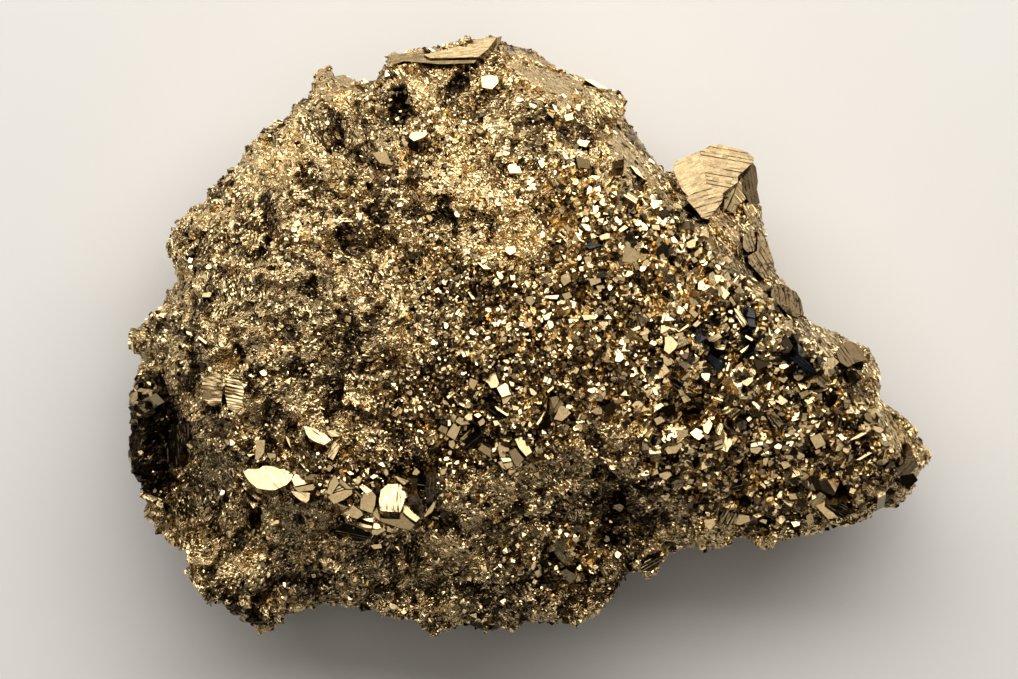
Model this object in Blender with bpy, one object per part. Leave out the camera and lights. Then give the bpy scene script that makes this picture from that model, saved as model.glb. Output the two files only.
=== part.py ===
"""A specimen of pyrite with galena: one intergrown lump, lying on its broken back with the crystals up.

Lengths are in millimetres until the mesh is made. +X runs along the lump, +Z is up, and the origin is on
the surface that it rests on.
"""

import math
import random

import bmesh
import bpy
import numpy as np
from mathutils import Euler, Matrix, Vector, noise
from mathutils.geometry import delaunay_2d_cdt
from mathutils.kdtree import KDTree

METRES_PER_MM = 0.001
LENGTH = 162.0
WIDTH = 120.8
TALLEST = 60.0
HALF_LENGTH = LENGTH / 2
HALF_WIDTH = WIDTH / 2

# The plan outline, clockwise from the top edge. The big crystal at the upper right stands outside it.
OUTLINE = [
    (-6.0, HALF_WIDTH), (-3.4, 59.5), (-0.6, 58.7), (2.4, 56.9), (5.6, 54.1), (8.6, 52.9), (12.4, 51.5),
    (15.6, 49.9), (18.2, 49.5), (19.0, 47.7), (18.8, 45.7), (20.2, 42.5), (22.2, 39.9), (25.4, 35.3),
    (30.0, 31.5), (38.0, 29.0), (43.5, 26.0), (46.6, 20.7), (48.0, 17.3), (48.8, 14.1), (50.0, 11.3),
    (53.8, 8.3), (54.8, 4.3), (58.6, 2.3), (62.0, 1.3), (64.2, -0.3), (66.6, -2.1), (68.6, -4.3),
    (70.0, -6.9), (70.6, -10.3), (68.6, -11.7), (71.8, -13.9), (74.8, -15.7), (76.2, -18.1),
    (78.0, -19.3), (80.0, -22.3), (HALF_LENGTH, -23.3), (80.6, -24.5), (78.6, -27.1), (76.2, -30.3),
    (74.2, -33.3), (71.2, -34.7), (67.4, -36.3), (61.6, -37.7), (55.8, -39.1), (49.8, -41.1),
    (45.8, -40.9), (39.8, -40.7), (33.6, -42.3), (26.6, -43.7), (25.4, -45.9), (23.4, -47.3),
    (19.2, -48.7), (17.8, -51.3), (16.0, -53.5), (13.0, -54.9), (10.6, -57.3), (9.2, -58.1),
    (2.4, -57.5), (-3.8, -58.9), (-8.6, -59.9), (-11.8, -58.7), (-15.2, -59.1), (-18.8, -HALF_WIDTH),
    (-20.2, -HALF_WIDTH), (-23.8, -57.1), (-34.2, -54.9), (-40.2, -54.3), (-48.4, -55.5),
    (-52.0, -58.9), (-56.8, -58.7), (-62.0, -53.9), (-64.0, -53.7), (-67.2, -51.3), (-70.0, -48.1),
    (-69.4, -44.3), (-72.8, -39.9), (-75.4, -37.3), (-75.4, -35.1), (-78.4, -31.3),
    (-HALF_LENGTH, -28.1), (-HALF_LENGTH, -18.7), (-80.8, -13.3), (-79.6, -8.7), (-78.0, -3.9),
    (-80.8, -1.5), (-80.9, 0.3), (-78.0, 5.1), (-73.8, 7.3), (-72.8, 10.3), (-70.6, 10.9),
    (-72.0, 14.5), (-73.2, 18.1), (-72.8, 20.5), (-70.0, 25.3), (-65.8, 27.9), (-65.0, 29.7),
    (-62.8, 31.7), (-58.4, 34.9), (-58.0, 37.5), (-52.8, 42.3), (-48.4, 45.3), (-47.2, 47.5),
    (-44.6, 48.3), (-44.2, 50.7), (-41.6, 54.1), (-37.2, 53.7), (-33.8, 51.9), (-29.8, 53.5),
    (-28.0, 56.5), (-21.8, 57.5), (-15.2, 58.1), (-11.6, 59.1),
]

# Heights of the crystal side at places on it: x, y, z.
SPOT_HEIGHTS = [
    (0, 0, 47), (-20, 18, 47), (-20, -6, 46), (20, 12, 49), (10, 30, 47), (-5, 45, 43),
    # Along the ridge that runs down the upper right side.
    (-6, 57, 36), (6, 49.5, 42), (22, 33.5, 46), (34, 19.5, 48), (52, 1.5, 45), (70, -18.5, 38),
    (75, -28.5, 31),
    # The flank that falls away outside the ridge.
    (17, 46, 33), (24, 38, 33), (30, 32, 34), (40, 24, 34), (47, 15, 33), (57, 3, 34), (67, -6, 31),
    (78, -22, 28),
    # The upper left shoulder.
    (-36, 44, 40), (-50, 36, 36), (-40, 20, 44), (-60, 20, 37), (-66, 24, 33), (-45, 0, 44),
    # The left end and its dark steep face.
    (-62, 0, 40), (-74, 2, 32), (-68, -12, 38), (-77, -16, 22), (-76, -26, 20), (-66, -28, 33),
    # The shelf of larger crystals at the lower left.
    (-52, -28, 38), (-40, -30, 41), (-26, -34, 40), (-20, -22, 43),
    # The slope along the lower edge, with its hollow.
    (-60, -42, 30), (-54, -54, 23), (-40, -48, 30), (-20, -48, 31), (-20, -57, 23), (0, -30, 42),
    (0, -45, 33), (0, -55, 24), (17, -37, 33), (16, -50, 25), (30, -38, 31),
    # The crystal field on the right.
    (30, -20, 44), (45, -15, 44), (50, -36, 31), (62, -28, 35), (40, 5, 46), (60, -8, 41),
]

# Swellings and hollows on the crystal side: x, y, radius, rise.
LUMPS = [
    (-39, 50, 6, 3.5), (-52, 36, 7, 3.5), (-67, 24, 5, 2.5), (15, 46, 5.5, 2), (-77, 2, 5, 4),
    (-62, -11.5, 5, 2.5), (-42, -24, 4.5, 2.5), (15, -22.5, 7.5, 3), (17, 11.5, 6.5, 1.8),
    (17, -1, 5.5, 1.5), (65, -5, 6, 3), (-68, -36, 6, 3), (-54, -50, 6, 3), (-34, -45, 6, 2.5),
    (-15, -52, 6, 3), (5, -51, 5, 2.5), (-50, 12, 7, 2), (-28, 30, 6, 2), (24, -45, 4.5, 2.5),
    (17, -37, 6.5, -5), (-25.5, 46, 3.5, -3), (-14, 51, 3.2, -2.5), (-55, -36.5, 3.2, -4),
    (64, -19, 3, -3), (-47, -22, 4.5, -2), (-73, -22, 4.5, -3), (-70, 8, 4, -3), (70, -12, 3.5, -3),
    (22, 36, 3.5, -3), (-33, -52, 4, -2.5),
]

# The broken side wall, between an upper edge and a lower one that wander up and down.
UPPER_EDGE = 27.0
UPPER_EDGE_VARIES = 9.0
LOWER_EDGE = 12.0
LOWER_EDGE_VARIES = 6.0
WALL_LEAST = 5.0
WALL_PATCH = 21.0
WALL_SHARES = [1.0, 0.99, 0.975, 0.96]
WALL_DENT = 0.028
EDGE_STEP = 4.0
SHOULDER = 6.0
SHOULDER_VARIES = 3.5

# The breaks on the back: direction it faces, how far out it starts, how steeply it rises.
BACK_BREAKS = [
    (8, 40, 0.42), (52, 26, 0.5), (97, 33, 0.5), (138, 36, 0.55), (176, 52, 0.62), (214, 44, 0.5),
    (262, 30, 0.48), (306, 22, 0.4), (338, 48, 0.75), (75, 44, 1.0), (200, 62, 1.1), (285, 46, 1.1),
]
REST_CLEARANCE = 0.9
BACK_ROUGH_FROM = 6.0

TOP_SPACING = 3.8
BACK_SPACING = 6.4
JITTER = 0.27
EDGE_CLEAR = 1.4
JOIN_WITHIN = 1e-5

# Broken faces all over it: size of a face, steepest tilt, seed.
FACETS = [(11.0, 0.3, 3), (5.0, 0.42, 4)]
FACET_SHIFT = 0.5
SWELL_PATCH = 24.0
SWELL = 2.2

# Larger crystals: x, y, width, length, height, turn, tilt about X, tilt about Y, with angles in degrees.
SHELF_CRYSTALS = [
    (-52.2, -27.9, 9.6, 4.6, 4.0, -6, -14, 4), (-45.6, -28.7, 4.4, 2.4, 3.0, 10, -18, -6),
    (-55.6, -31.3, 4.2, 2.8, 3.0, -35, 22, 12), (-46.0, -31.6, 4.6, 3.2, 3.0, 25, -10, 14),
    (-42.8, -19.7, 5.4, 3.8, 3.6, 15, -15, -8), (-38.0, -30.5, 5.4, 5.4, 5.4, 14, 6, 10),
    (-32.4, -33.1, 3.4, 3.8, 4.0, -12, 4, -8), (-35.4, -35.1, 3.6, 3.0, 3.6, 20, -6, 6),
    (-27.6, -32.1, 5.2, 5.4, 5.6, -14, -10, 8), (-26.4, -36.0, 8.2, 3.8, 4.6, -8, 16, -4),
    (-23.0, -34.9, 3.6, 4.4, 5.0, 22, 12, 14), (-19.6, -31.3, 3.2, 7.0, 6.0, 8, -6, 26),
    (-35.4, -38.6, 7.4, 4.8, 4.2, -5, 30, 4), (-30.6, -28.6, 3.4, 3.0, 3.2, 35, -8, 4),
]
CENTRE_CRYSTALS = [
    (-5.6, -10.5, 2.6, 2.8, 3.0, 12, -16, 4), (-7.2, -14.9, 2.8, 2.8, 3.2, 30, 24, 10),
    (-17.2, -18.0, 2.6, 2.4, 3.0, 10, 4, 6), (-14.9, -19.4, 2.8, 3.2, 3.4, -18, 6, -10),
    (-11.6, -20.4, 4.6, 3.9, 4.4, 18, 26, 8), (-8.6, -23.0, 3.2, 3.4, 4.0, -30, 8, -8),
    (-5.0, -20.0, 2.8, 2.4, 3.4, 0, -16, 2), (-2.8, -24.0, 2.8, 4.0, 4.6, 14, 12, 16),
    (-0.8, -21.2, 3.6, 4.4, 4.8, 22, -4, -10), (6.0, -14.9, 3.8, 3.8, 3.6, 30, 4, 4),
    (2.6, -16.6, 3.8, 3.6, 4.0, 8, 28, 12), (-16.0, -22.6, 2.6, 2.4, 3.0, 32, 10, -4),
]
RIGHT_CRYSTALS = [
    (28.0, -1.3, 2.9, 3.4, 3.4, 20, -12, 4), (27.2, -4.4, 2.5, 2.4, 3.0, 5, 2, -6),
    (41.8, 4.1, 3.2, 4.0, 4.0, 28, -14, 6), (36.8, 3.1, 2.6, 2.4, 3.2, 12, 28, 8),
    (34.0, -0.5, 2.8, 2.4, 3.0, -14, 26, 10), (37.2, -5.1, 3.8, 3.8, 4.0, 24, 30, -8),
    (44.4, 0.4, 2.8, 2.6, 3.2, 8, 24, -12), (43.4, -2.9, 3.0, 2.6, 3.4, 15, 28, 6),
    (47.6, -2.7, 4.8, 3.8, 4.2, -8, 30, 10), (54.2, -5.1, 6.2, 4.6, 4.6, 6, 28, -6),
    (43.0, -9.2, 3.2, 2.6, 3.2, 10, -14, 4), (34.8, -7.6, 2.5, 2.5, 3.0, 24, -15, -4),
    (50.0, -12.7, 2.9, 2.6, 3.2, 5, -12, 2), (40.6, -15.1, 2.8, 2.6, 3.2, 8, -10, 12),
    (49.0, -16.5, 3.3, 3.4, 3.8, 30, 16, 12), (54.4, -10.8, 2.6, 2.9, 3.2, 12, 4, 8),
    (57.9, -11.2, 3.0, 3.0, 3.4, 2, 6, -4), (27.4, -14.7, 2.8, 3.0, 3.4, 20, 28, 4),
    (33.4, -13.1, 2.7, 2.6, 3.2, 0, 30, 8), (30.4, -11.1, 2.7, 3.4, 3.6, -12, 6, 14),
    (33.2, -19.1, 2.6, 2.6, 3.2, 18, -16, 2), (35.9, -16.9, 2.5, 2.5, 3.0, 40, -14, -6),
    (23.6, -8.7, 3.8, 4.2, 4.0, 32, -8, 6), (57.2, -20.9, 3.2, 3.2, 3.4, 4, 6, 2),
]
EDGE_CRYSTALS = [
    (60.8, -34.0, 6.6, 5.0, 6.0, 12, 22, 6), (24.0, -44.0, 5.0, 5.0, 6.0, -24, 24, 4),
    (6.8, -41.5, 4.8, 3.2, 4.2, -10, -8, 8), (6.4, -44.6, 3.6, 3.0, 3.8, 12, 10, -6),
    (7.4, -47.8, 3.4, 3.2, 3.8, 24, 14, 8), (-8.4, 51.1, 3.6, 3.0, 3.4, 8, 4, 0),
    (-61.6, -9.0, 7.4, 3.4, 3.2, 4, -16, 4), (-61.4, -12.2, 8.0, 3.6, 3.4, 0, -14, 6),
    (-60.8, -15.4, 6.6, 3.4, 3.2, -3, -12, 8), (-76.0, -12.4, 4.6, 4.2, 7.0, -8, 6, -24),
    (-70.8, -20.8, 4.8, 7.6, 6.0, -6, 10, -26), (-73.6, -33.6, 5.0, 4.2, 6.0, -20, 18, -16),
    (61.5, -20.2, 3.8, 3.0, 3.6, -20, 20, 10), (-23.6, 39.6, 3.0, 2.6, 3.2, 20, -6, 4),
    (-31.0, 35.6, 3.2, 3.0, 3.4, 40, 8, -10),
]

# The pair of big striated crystals at the upper right, each the hull of its corners, and what is under it.
BIG_CRYSTALS = [
    [(28.8, 35.1, 27), (33.9, 37.4, 29), (35.3, 30.2, 36.5), (31.4, 27.6, 37), (28.6, 31.9, 31),
     (28.6, 34.4, 20), (34.2, 36.2, 20), (36.0, 26.0, 22), (30.0, 26.0, 22)],
    [(33.7, 37.4, 29), (37.6, 38.7, 29), (41.2, 37.8, 28), (44.9, 35.9, 27), (42.0, 33.1, 32),
     (41.6, 31.2, 33.5), (38.5, 28.4, 36.5), (35.2, 30.0, 36.2), (45.4, 29.9, 24), (45.4, 26.9, 22),
     (34.4, 36.0, 19), (41.2, 36.4, 18), (44.4, 34.6, 18), (44.0, 26.0, 20), (35.0, 26.0, 20)],
    [(31.4, 27.9, 37), (35.2, 30.4, 36.8), (38.2, 28.0, 36.4), (37.8, 25.4, 36), (34.4, 23.2, 38),
     (32.2, 26.3, 38), (33.0, 28.0, 26), (37.0, 27.0, 26), (35.0, 23.6, 28)],
    [(42.0, 25.4, 34), (45.6, 27.4, 30), (46.6, 25.3, 29), (46.7, 20.8, 29), (43.2, 20.2, 35),
     (42.4, 24.8, 20), (45.8, 26.6, 18), (45.8, 20.6, 18), (43.0, 20.0, 20)],
    [(44.6, 20.4, 35), (46.9, 20.6, 31), (49.0, 14.2, 31), (50.0, 11.6, 30), (47.6, 12.2, 37),
     (45.0, 20.0, 20), (46.2, 20.0, 19), (48.6, 11.6, 19), (47.6, 12.2, 20)],
    [(50.2, 11.0, 37), (53.7, 8.5, 33), (54.8, 4.5, 33), (51.6, 4.6, 38), (50.2, 10.4, 22),
     (53.0, 8.2, 20), (54.0, 4.4, 20), (52.0, 4.4, 22)],
]

# Large flat faces at the edge, as corners: the ledge along the top, the block at the upper right, the
# rounded lump at the right, the block under it and the smooth pointed end.
EDGE_FACES = [
    [(-28.2, 56.2, 36.5), (-17, 57.8, 37), (-9.8, 59.8, 37.5), (-6.8, HALF_WIDTH, 37.5), (-8.6, 57.7, 39),
     (-10.6, 56.1, 39.8), (-25, 55, 39), (-28, 54.6, 38), (-26, 55, 26), (-9, 58, 26), (-8, 57, 28)],
    [(9.4, 48.5, 41), (11.4, 50.6, 39), (16.2, 49.8, 38), (18.4, 49, 38), (19, 47.3, 38.5),
     (17.8, 43, 41), (14.6, 43.9, 42.5), (10.6, 46.3, 43), (11.4, 50.2, 27), (18, 48.4, 27),
     (18.4, 46.6, 27), (17, 43, 30), (10.4, 46.3, 32)],
    [(61.2, -2.5, 38), (63, -0.4, 36), (65.6, -0.9, 35.5), (68.4, -3.1, 34.5), (69.9, -6.3, 33.5),
     (69.4, -8.2, 35), (65, -7.6, 38.5), (62.2, -6.6, 40), (62, -8, 32), (66, -9.4, 30),
     (69.4, -8.8, 28), (69.6, -6, 26), (64, -0.8, 26), (61.6, -3, 28)],
    [(67.6, -8.6, 33), (70.2, -9, 32), (70.4, -11, 31), (68.4, -12.2, 33), (67.4, -11, 35),
     (70, -9, 24), (70, -11, 24), (67.8, -12, 24)],
    [(69.4, -12.9, 34), (73.8, -15.3, 32.5), (77.4, -18.7, 31), (80.2, -22.9, 29.5), (76.8, -24.9, 34.5),
     (73.2, -25.7, 37.5), (71.2, -22.9, 39), (69.4, -18.5, 39), (68.4, -15, 37.5), (79.4, -23.5, 25),
     (76.8, -28, 26), (73.2, -28, 28), (69, -24, 26), (69, -14, 24), (76.3, -18.7, 22)],
]

# The field of small crystals, as ellipses: centre x, centre y, half length, half width, turn, how many.
CRYSTAL_FIELDS = [(22, -4, 36, 20, -22, 78), (-8, -12, 20, 14, 0, 20), (-40, -26, 22, 10, 0, 10)]
FIELD_SMALLEST = 2.2
FIELD_LARGEST = 3.3
FIELD_TURN = 45
FIELD_TILT = 26
FIELD_SEED = 11
STAND_PROUD = 0.16

BODY_COLOUR = (0.42, 0.33, 0.20, 1.0)
BODY_ROUGHNESS = 0.36
BODY_METALLIC = 0.9


def clear_scene():
    for thing in list(bpy.data.objects):
        bpy.data.objects.remove(thing)


def smooth_surface(spots):
    """A smooth surface through the spot heights, as a thin plate bends."""
    places = np.array([(x, y) for x, y, _ in spots], float)
    heights = np.array([z for _, _, z in spots], float)
    apart = np.linalg.norm(places[:, None] - places[None], axis=2)
    bend = np.where(apart > 0, apart**2 * np.log(np.maximum(apart, 1e-9)), 0.0)
    flat = np.column_stack([np.ones(len(places)), places])
    system = np.block([[bend, flat], [flat.T, np.zeros((3, 3))]])
    weights = np.linalg.solve(system, np.concatenate([heights, np.zeros(3)]))

    def height(x, y):
        away = np.maximum(np.hypot(places[:, 0] - x, places[:, 1] - y), 1e-9)
        return float(weights[:-3] @ (away**2 * np.log(away)) + weights[-3:] @ (1.0, x, y))

    return height


spot_height = smooth_surface(SPOT_HEIGHTS)


def ease(share):
    share = min(max(share, 0.0), 1.0)
    return share * share * (3 - 2 * share)


def inside_distance(x, y, outline):
    """How far a place is inside an outline, and below 0 outside it."""
    nearest = math.inf
    inside = False
    for (ax, ay), (bx, by) in zip(outline, outline[1:] + outline[:1]):
        dx, dy = bx - ax, by - ay
        along = ((x - ax) * dx + (y - ay) * dy) / (dx * dx + dy * dy)
        along = min(max(along, 0.0), 1.0)
        nearest = min(nearest, math.hypot(x - ax - along * dx, y - ay - along * dy))
        if (ay > y) != (by > y) and x < ax + (y - ay) * dx / dy:
            inside = not inside
    return nearest if inside else -nearest


def broken_faces(size, steepest, seed):
    """A rough surface of flat faces, each tilted its own way: rise at a place in space."""
    draw = random.Random(seed)
    columns, rows, layers = (int(extent / size) + 3 for extent in (LENGTH, WIDTH, TALLEST))
    centres = KDTree(columns * rows * layers)
    tilts = []
    for column in range(columns):
        for row in range(rows):
            for layer in range(layers):
                jitter = [draw.uniform(-FACET_SHIFT, FACET_SHIFT) for _ in "xyz"]
                place = Vector((column + jitter[0], row + jitter[1], layer + jitter[2])) * size
                centres.insert(place - Vector((HALF_LENGTH + size, HALF_WIDTH + size, size)), len(tilts))
                tilts.append(Vector([draw.uniform(-steepest, steepest) for _ in "xyz"]))
    centres.balance()

    def rise(x, y, z):
        centre, index, _ = centres.find((x, y, z))
        return tilts[index].dot(Vector((x, y, z)) - centre)

    return rise


facets = [broken_faces(*kind) for kind in FACETS]


def rough(x, y, z):
    swell = SWELL * noise.noise((x / SWELL_PATCH, y / SWELL_PATCH, z / SWELL_PATCH))
    return swell + sum(rise(x, y, z) for rise in facets)


def upper_edge(x, y):
    return UPPER_EDGE + UPPER_EDGE_VARIES * noise.noise((x / WALL_PATCH, y / WALL_PATCH, UPPER_EDGE))


def lower_edge(x, y):
    height = LOWER_EDGE + LOWER_EDGE_VARIES * noise.noise((x / WALL_PATCH, y / WALL_PATCH, LOWER_EDGE))
    return min(height, upper_edge(x, y) - WALL_LEAST)


def lump_height(x, y):
    return sum(rise * ease(1 - math.hypot(x - cx, y - cy) / size) for cx, cy, size, rise in LUMPS)


def top_height(x, y):
    """The crystal side, which rounds over to the edge."""
    inward = max(inside_distance(x, y, OUTLINE), 0.0)
    shoulder = SHOULDER + SHOULDER_VARIES * noise.noise((x / WALL_PATCH, y / WALL_PATCH, SHOULDER))
    over = min(inward / shoulder, 1.0)
    rounded = math.sqrt(1 - (1 - over) ** 2)
    edge = upper_edge(x, y)
    full = spot_height(x, y)
    full = max(full, edge + 1) + rough(x, y, full) + lump_height(x, y)
    return edge + (full - edge) * rounded


def back_height(x, y):
    """The broken back: level where it rests, rising in broken faces around that up to the wall."""
    rise = 0.0
    for facing, start, steep in BACK_BREAKS:
        outward = x * math.cos(math.radians(facing)) + y * math.sin(math.radians(facing))
        rise = max(rise, (outward - start) * steep)
    if rise < REST_CLEARANCE:
        return 0.0
    rise += rough(x, y, rise) * ease(rise / BACK_ROUGH_FROM)
    return min(max(rise, REST_CLEARANCE), lower_edge(x, y))


def fine_outline():
    """The outline with no step longer than EDGE_STEP."""
    points = []
    for (ax, ay), (bx, by) in zip(OUTLINE, OUTLINE[1:] + OUTLINE[:1]):
        steps = max(1, round(math.hypot(bx - ax, by - ay) / EDGE_STEP))
        points += [(ax + (bx - ax) * i / steps, ay + (by - ay) * i / steps) for i in range(steps)]
    return points


def scattered(outline, spacing, seed):
    """Points inside the outline on a loose triangular grid."""
    draw = random.Random(seed)
    points = []
    rows = int(WIDTH / (spacing * math.sin(math.pi / 3))) + 2
    for row in range(rows):
        for column in range(int(LENGTH / spacing) + 2):
            x = (column + 0.5 * (row % 2)) * spacing - HALF_LENGTH
            y = row * spacing * math.sin(math.pi / 3) - HALF_WIDTH
            x += draw.uniform(-JITTER, JITTER) * spacing
            y += draw.uniform(-JITTER, JITTER) * spacing
            if inside_distance(x, y, outline) > EDGE_CLEAR:
                points.append((x, y))
    return points


def add_sheet(mesh, ring, inner, height, upward):
    """Fills a ring of vertices with a triangulated sheet through the inner points."""
    flat = [Vector((v.co.x, v.co.y)) for v in ring] + [Vector(p) for p in inner]
    loop = list(range(len(ring)))
    places, _, faces, origins, _, _ = delaunay_2d_cdt(flat, [], [loop], 1, JOIN_WITHIN)
    verts = []
    for place, sources in zip(places, origins):
        if sources and sources[0] < len(ring):
            verts.append(ring[sources[0]])
        else:
            verts.append(mesh.verts.new((place.x, place.y, height(place.x, place.y))))
    for face in faces:
        corners = [verts[i] for i in face]
        made = mesh.faces.new(corners)
        made.normal_update()
        if (made.normal.z > 0) != upward:
            made.normal_flip()


def wall_ring(mesh, outline, ring):
    """A ring of vertices round the side wall, never outside the outline."""
    down = ring / (len(WALL_SHARES) - 1)
    verts = []
    for x, y in outline:
        height = upper_edge(x, y) * (1 - down) + lower_edge(x, y) * down
        inset = WALL_SHARES[ring] - WALL_DENT * down * abs(rough(x, y, height))
        verts.append(mesh.verts.new((x * inset, y * inset, height)))
    return verts


def join_rings(mesh, upper, lower):
    for i in range(len(upper)):
        following = (i + 1) % len(upper)
        mesh.faces.new((upper[i], upper[following], lower[i]))
        mesh.faces.new((upper[following], lower[following], lower[i]))


def lump_mesh():
    """The whole lump without its crystals: crystal side, broken wall and broken back."""
    mesh = bmesh.new()
    outline = fine_outline()
    rings = [wall_ring(mesh, outline, ring) for ring in range(len(WALL_SHARES))]
    for upper, lower in zip(rings, rings[1:]):
        join_rings(mesh, upper, lower)
    low_outline = [(v.co.x, v.co.y) for v in rings[-1]]
    add_sheet(mesh, rings[0], scattered(outline, TOP_SPACING, 1), top_height, True)
    add_sheet(mesh, rings[-1], scattered(low_outline, BACK_SPACING, 2), back_height, False)
    bmesh.ops.recalc_face_normals(mesh, faces=mesh.faces)
    return mesh


def add_block(mesh, place, size, turn, tilt_x, tilt_y):
    """One crystal: a block turned about its own upright axis and then tilted."""
    turned = Euler((math.radians(tilt_x), math.radians(tilt_y), 0)).to_matrix().to_4x4()
    turned = turned @ Matrix.Rotation(math.radians(turn), 4, "Z")
    placed = Matrix.Translation(place) @ turned @ Matrix.Diagonal((*size, 1))
    bmesh.ops.create_cube(mesh, size=1, matrix=placed)


def add_crystals(mesh, crystals):
    for x, y, width, length, height, turn, tilt_x, tilt_y in crystals:
        centre = top_height(x, y) + STAND_PROUD * height
        add_block(mesh, (x, y, centre), (width, length, height), turn, tilt_x, tilt_y)


def field_crystals():
    """Crystals strewn over the fields, a third of them with one longer side."""
    draw = random.Random(FIELD_SEED)
    found = []
    for cx, cy, half_length, half_width, turn, count in CRYSTAL_FIELDS:
        for _ in range(count):
            away = math.sqrt(draw.random())
            round_by = draw.uniform(0, 2 * math.pi)
            along = away * half_length * math.cos(round_by)
            across = away * half_width * math.sin(round_by)
            lean = math.radians(turn)
            x = cx + along * math.cos(lean) - across * math.sin(lean)
            y = cy + along * math.sin(lean) + across * math.cos(lean)
            size = draw.uniform(FIELD_SMALLEST, FIELD_LARGEST)
            longer = size * draw.choice((1.0, 1.0, 1.35))
            angles = [draw.uniform(-most, most) for most in (FIELD_TURN, FIELD_TILT, FIELD_TILT)]
            found.append((x, y, size, longer, size, *angles))
    return found


def add_hull(mesh, corners):
    verts = [mesh.verts.new(corner) for corner in corners]
    made = bmesh.ops.convex_hull(mesh, input=verts)
    spare = [v for v in made["geom_interior"] if isinstance(v, bmesh.types.BMVert)]
    bmesh.ops.delete(mesh, geom=spare, context="VERTS")


def crystal_mesh():
    mesh = bmesh.new()
    for group in (SHELF_CRYSTALS, CENTRE_CRYSTALS, RIGHT_CRYSTALS, EDGE_CRYSTALS, field_crystals()):
        add_crystals(mesh, group)
    for corners in BIG_CRYSTALS + EDGE_FACES:
        add_hull(mesh, corners)
    bmesh.ops.recalc_face_normals(mesh, faces=mesh.faces)
    return mesh


def make_object(name, mesh):
    bmesh.ops.scale(mesh, vec=(METRES_PER_MM,) * 3, verts=mesh.verts)
    data = bpy.data.meshes.new(name)
    mesh.to_mesh(data)
    mesh.free()
    thing = bpy.data.objects.new(name, data)
    bpy.context.collection.objects.link(thing)
    return thing


def pyrite_material():
    material = bpy.data.materials.new("pyrite")
    material.use_nodes = True
    shader = material.node_tree.nodes["Principled BSDF"]
    shader.inputs["Base Color"].default_value = BODY_COLOUR
    shader.inputs["Roughness"].default_value = BODY_ROUGHNESS
    shader.inputs["Metallic"].default_value = BODY_METALLIC
    return material


def islands(mesh):
    """The connected shells of a mesh, as lists of faces."""
    waiting = set(mesh.faces)
    found = []
    while waiting:
        shell = [waiting.pop()]
        for face in shell:
            near = {other for edge in face.edges for other in edge.link_faces} & waiting
            waiting -= near
            shell.extend(near)
        found.append(shell)
    return found


def keep_outer_skin(thing):
    """Fills gaps that crystals close in between them, and drops any crystal that touches nothing."""
    mesh = bmesh.new()
    mesh.from_mesh(thing.data)
    shells = sorted(islands(mesh), key=len)
    for shell in shells[:-1]:
        bmesh.ops.delete(mesh, geom=shell, context="FACES")
    mesh.to_mesh(thing.data)
    mesh.free()


def build_specimen():
    specimen = make_object("specimen", lump_mesh())
    crystals = make_object("crystal_tool", crystal_mesh())
    joined = specimen.modifiers.new("grown together", "BOOLEAN")
    joined.operation = "UNION"
    joined.solver = "EXACT"
    joined.use_self = True
    joined.object = crystals
    bpy.context.view_layer.objects.active = specimen
    bpy.ops.object.modifier_apply(modifier=joined.name)
    bpy.data.objects.remove(crystals)
    keep_outer_skin(specimen)
    specimen.data.materials.append(pyrite_material())


clear_scene()
build_specimen()
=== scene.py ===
"""The looks of a pyrite and galena specimen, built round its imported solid.

It is laid out as an add-on and run as a script. Places and lengths in its lists are millimetres, as on a
ruler laid on the specimen: +X towards its pointed end, +Y towards its upper edge, +Z out of the crystals.
Only the outlines of crystal faces and smooth places are in pixels of the usual view, where they are seen.
"""

import collections
import math
import random

import bpy
import numpy as np
from bpy.props import FloatProperty, FloatVectorProperty, PointerProperty
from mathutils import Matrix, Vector
from mathutils.bvhtree import BVHTree


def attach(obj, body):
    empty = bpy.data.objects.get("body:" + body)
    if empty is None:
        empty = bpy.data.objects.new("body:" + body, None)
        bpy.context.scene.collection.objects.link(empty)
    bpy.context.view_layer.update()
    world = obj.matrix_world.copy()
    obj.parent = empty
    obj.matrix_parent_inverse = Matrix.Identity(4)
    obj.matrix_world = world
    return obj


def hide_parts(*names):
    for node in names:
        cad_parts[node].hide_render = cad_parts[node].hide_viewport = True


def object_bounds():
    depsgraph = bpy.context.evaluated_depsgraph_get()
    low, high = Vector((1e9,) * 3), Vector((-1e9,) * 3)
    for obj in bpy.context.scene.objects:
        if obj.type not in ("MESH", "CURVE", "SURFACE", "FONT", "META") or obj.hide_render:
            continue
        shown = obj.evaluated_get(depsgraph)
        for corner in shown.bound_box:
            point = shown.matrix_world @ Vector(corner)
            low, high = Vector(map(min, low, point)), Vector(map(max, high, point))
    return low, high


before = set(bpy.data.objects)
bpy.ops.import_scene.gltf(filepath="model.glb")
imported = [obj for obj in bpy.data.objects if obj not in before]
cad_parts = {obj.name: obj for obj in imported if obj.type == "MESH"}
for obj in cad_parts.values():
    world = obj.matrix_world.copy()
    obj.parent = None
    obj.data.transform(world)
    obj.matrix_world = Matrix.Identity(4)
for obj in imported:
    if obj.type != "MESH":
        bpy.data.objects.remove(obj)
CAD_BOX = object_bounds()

bl_info = {
    "name": "Pyrite and galena specimen",
    "version": (1, 0, 0),
    "blender": (4, 5, 0),
    "location": "3D View > Sidebar > Specimen",
    "description": "Builds the crystals, matrix and finishes of a pyrite and galena specimen",
    "category": "Object",
}

MM = 0.001
NODE = "specimen"

# The usual view looks straight down. Its size in pixels, the millimetres of one pixel at the level of the
# crystals, the place in its middle, the camera's sensor and focal length, and how far it sees in metres.
VIEW_SIZE = (1018, 679)
PIXEL = 0.2
VIEW_MIDDLE = Vector((-4.4, -0.4, 34))
SENSOR_WIDTH = 36.0
FOCAL_LENGTH = 250.0
CAMERA_SIGHT = 40
CAMERA_PLACE = VIEW_MIDDLE + Vector((0, 0, VIEW_SIZE[0] * PIXEL * FOCAL_LENGTH / SENSOR_WIDTH))

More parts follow.
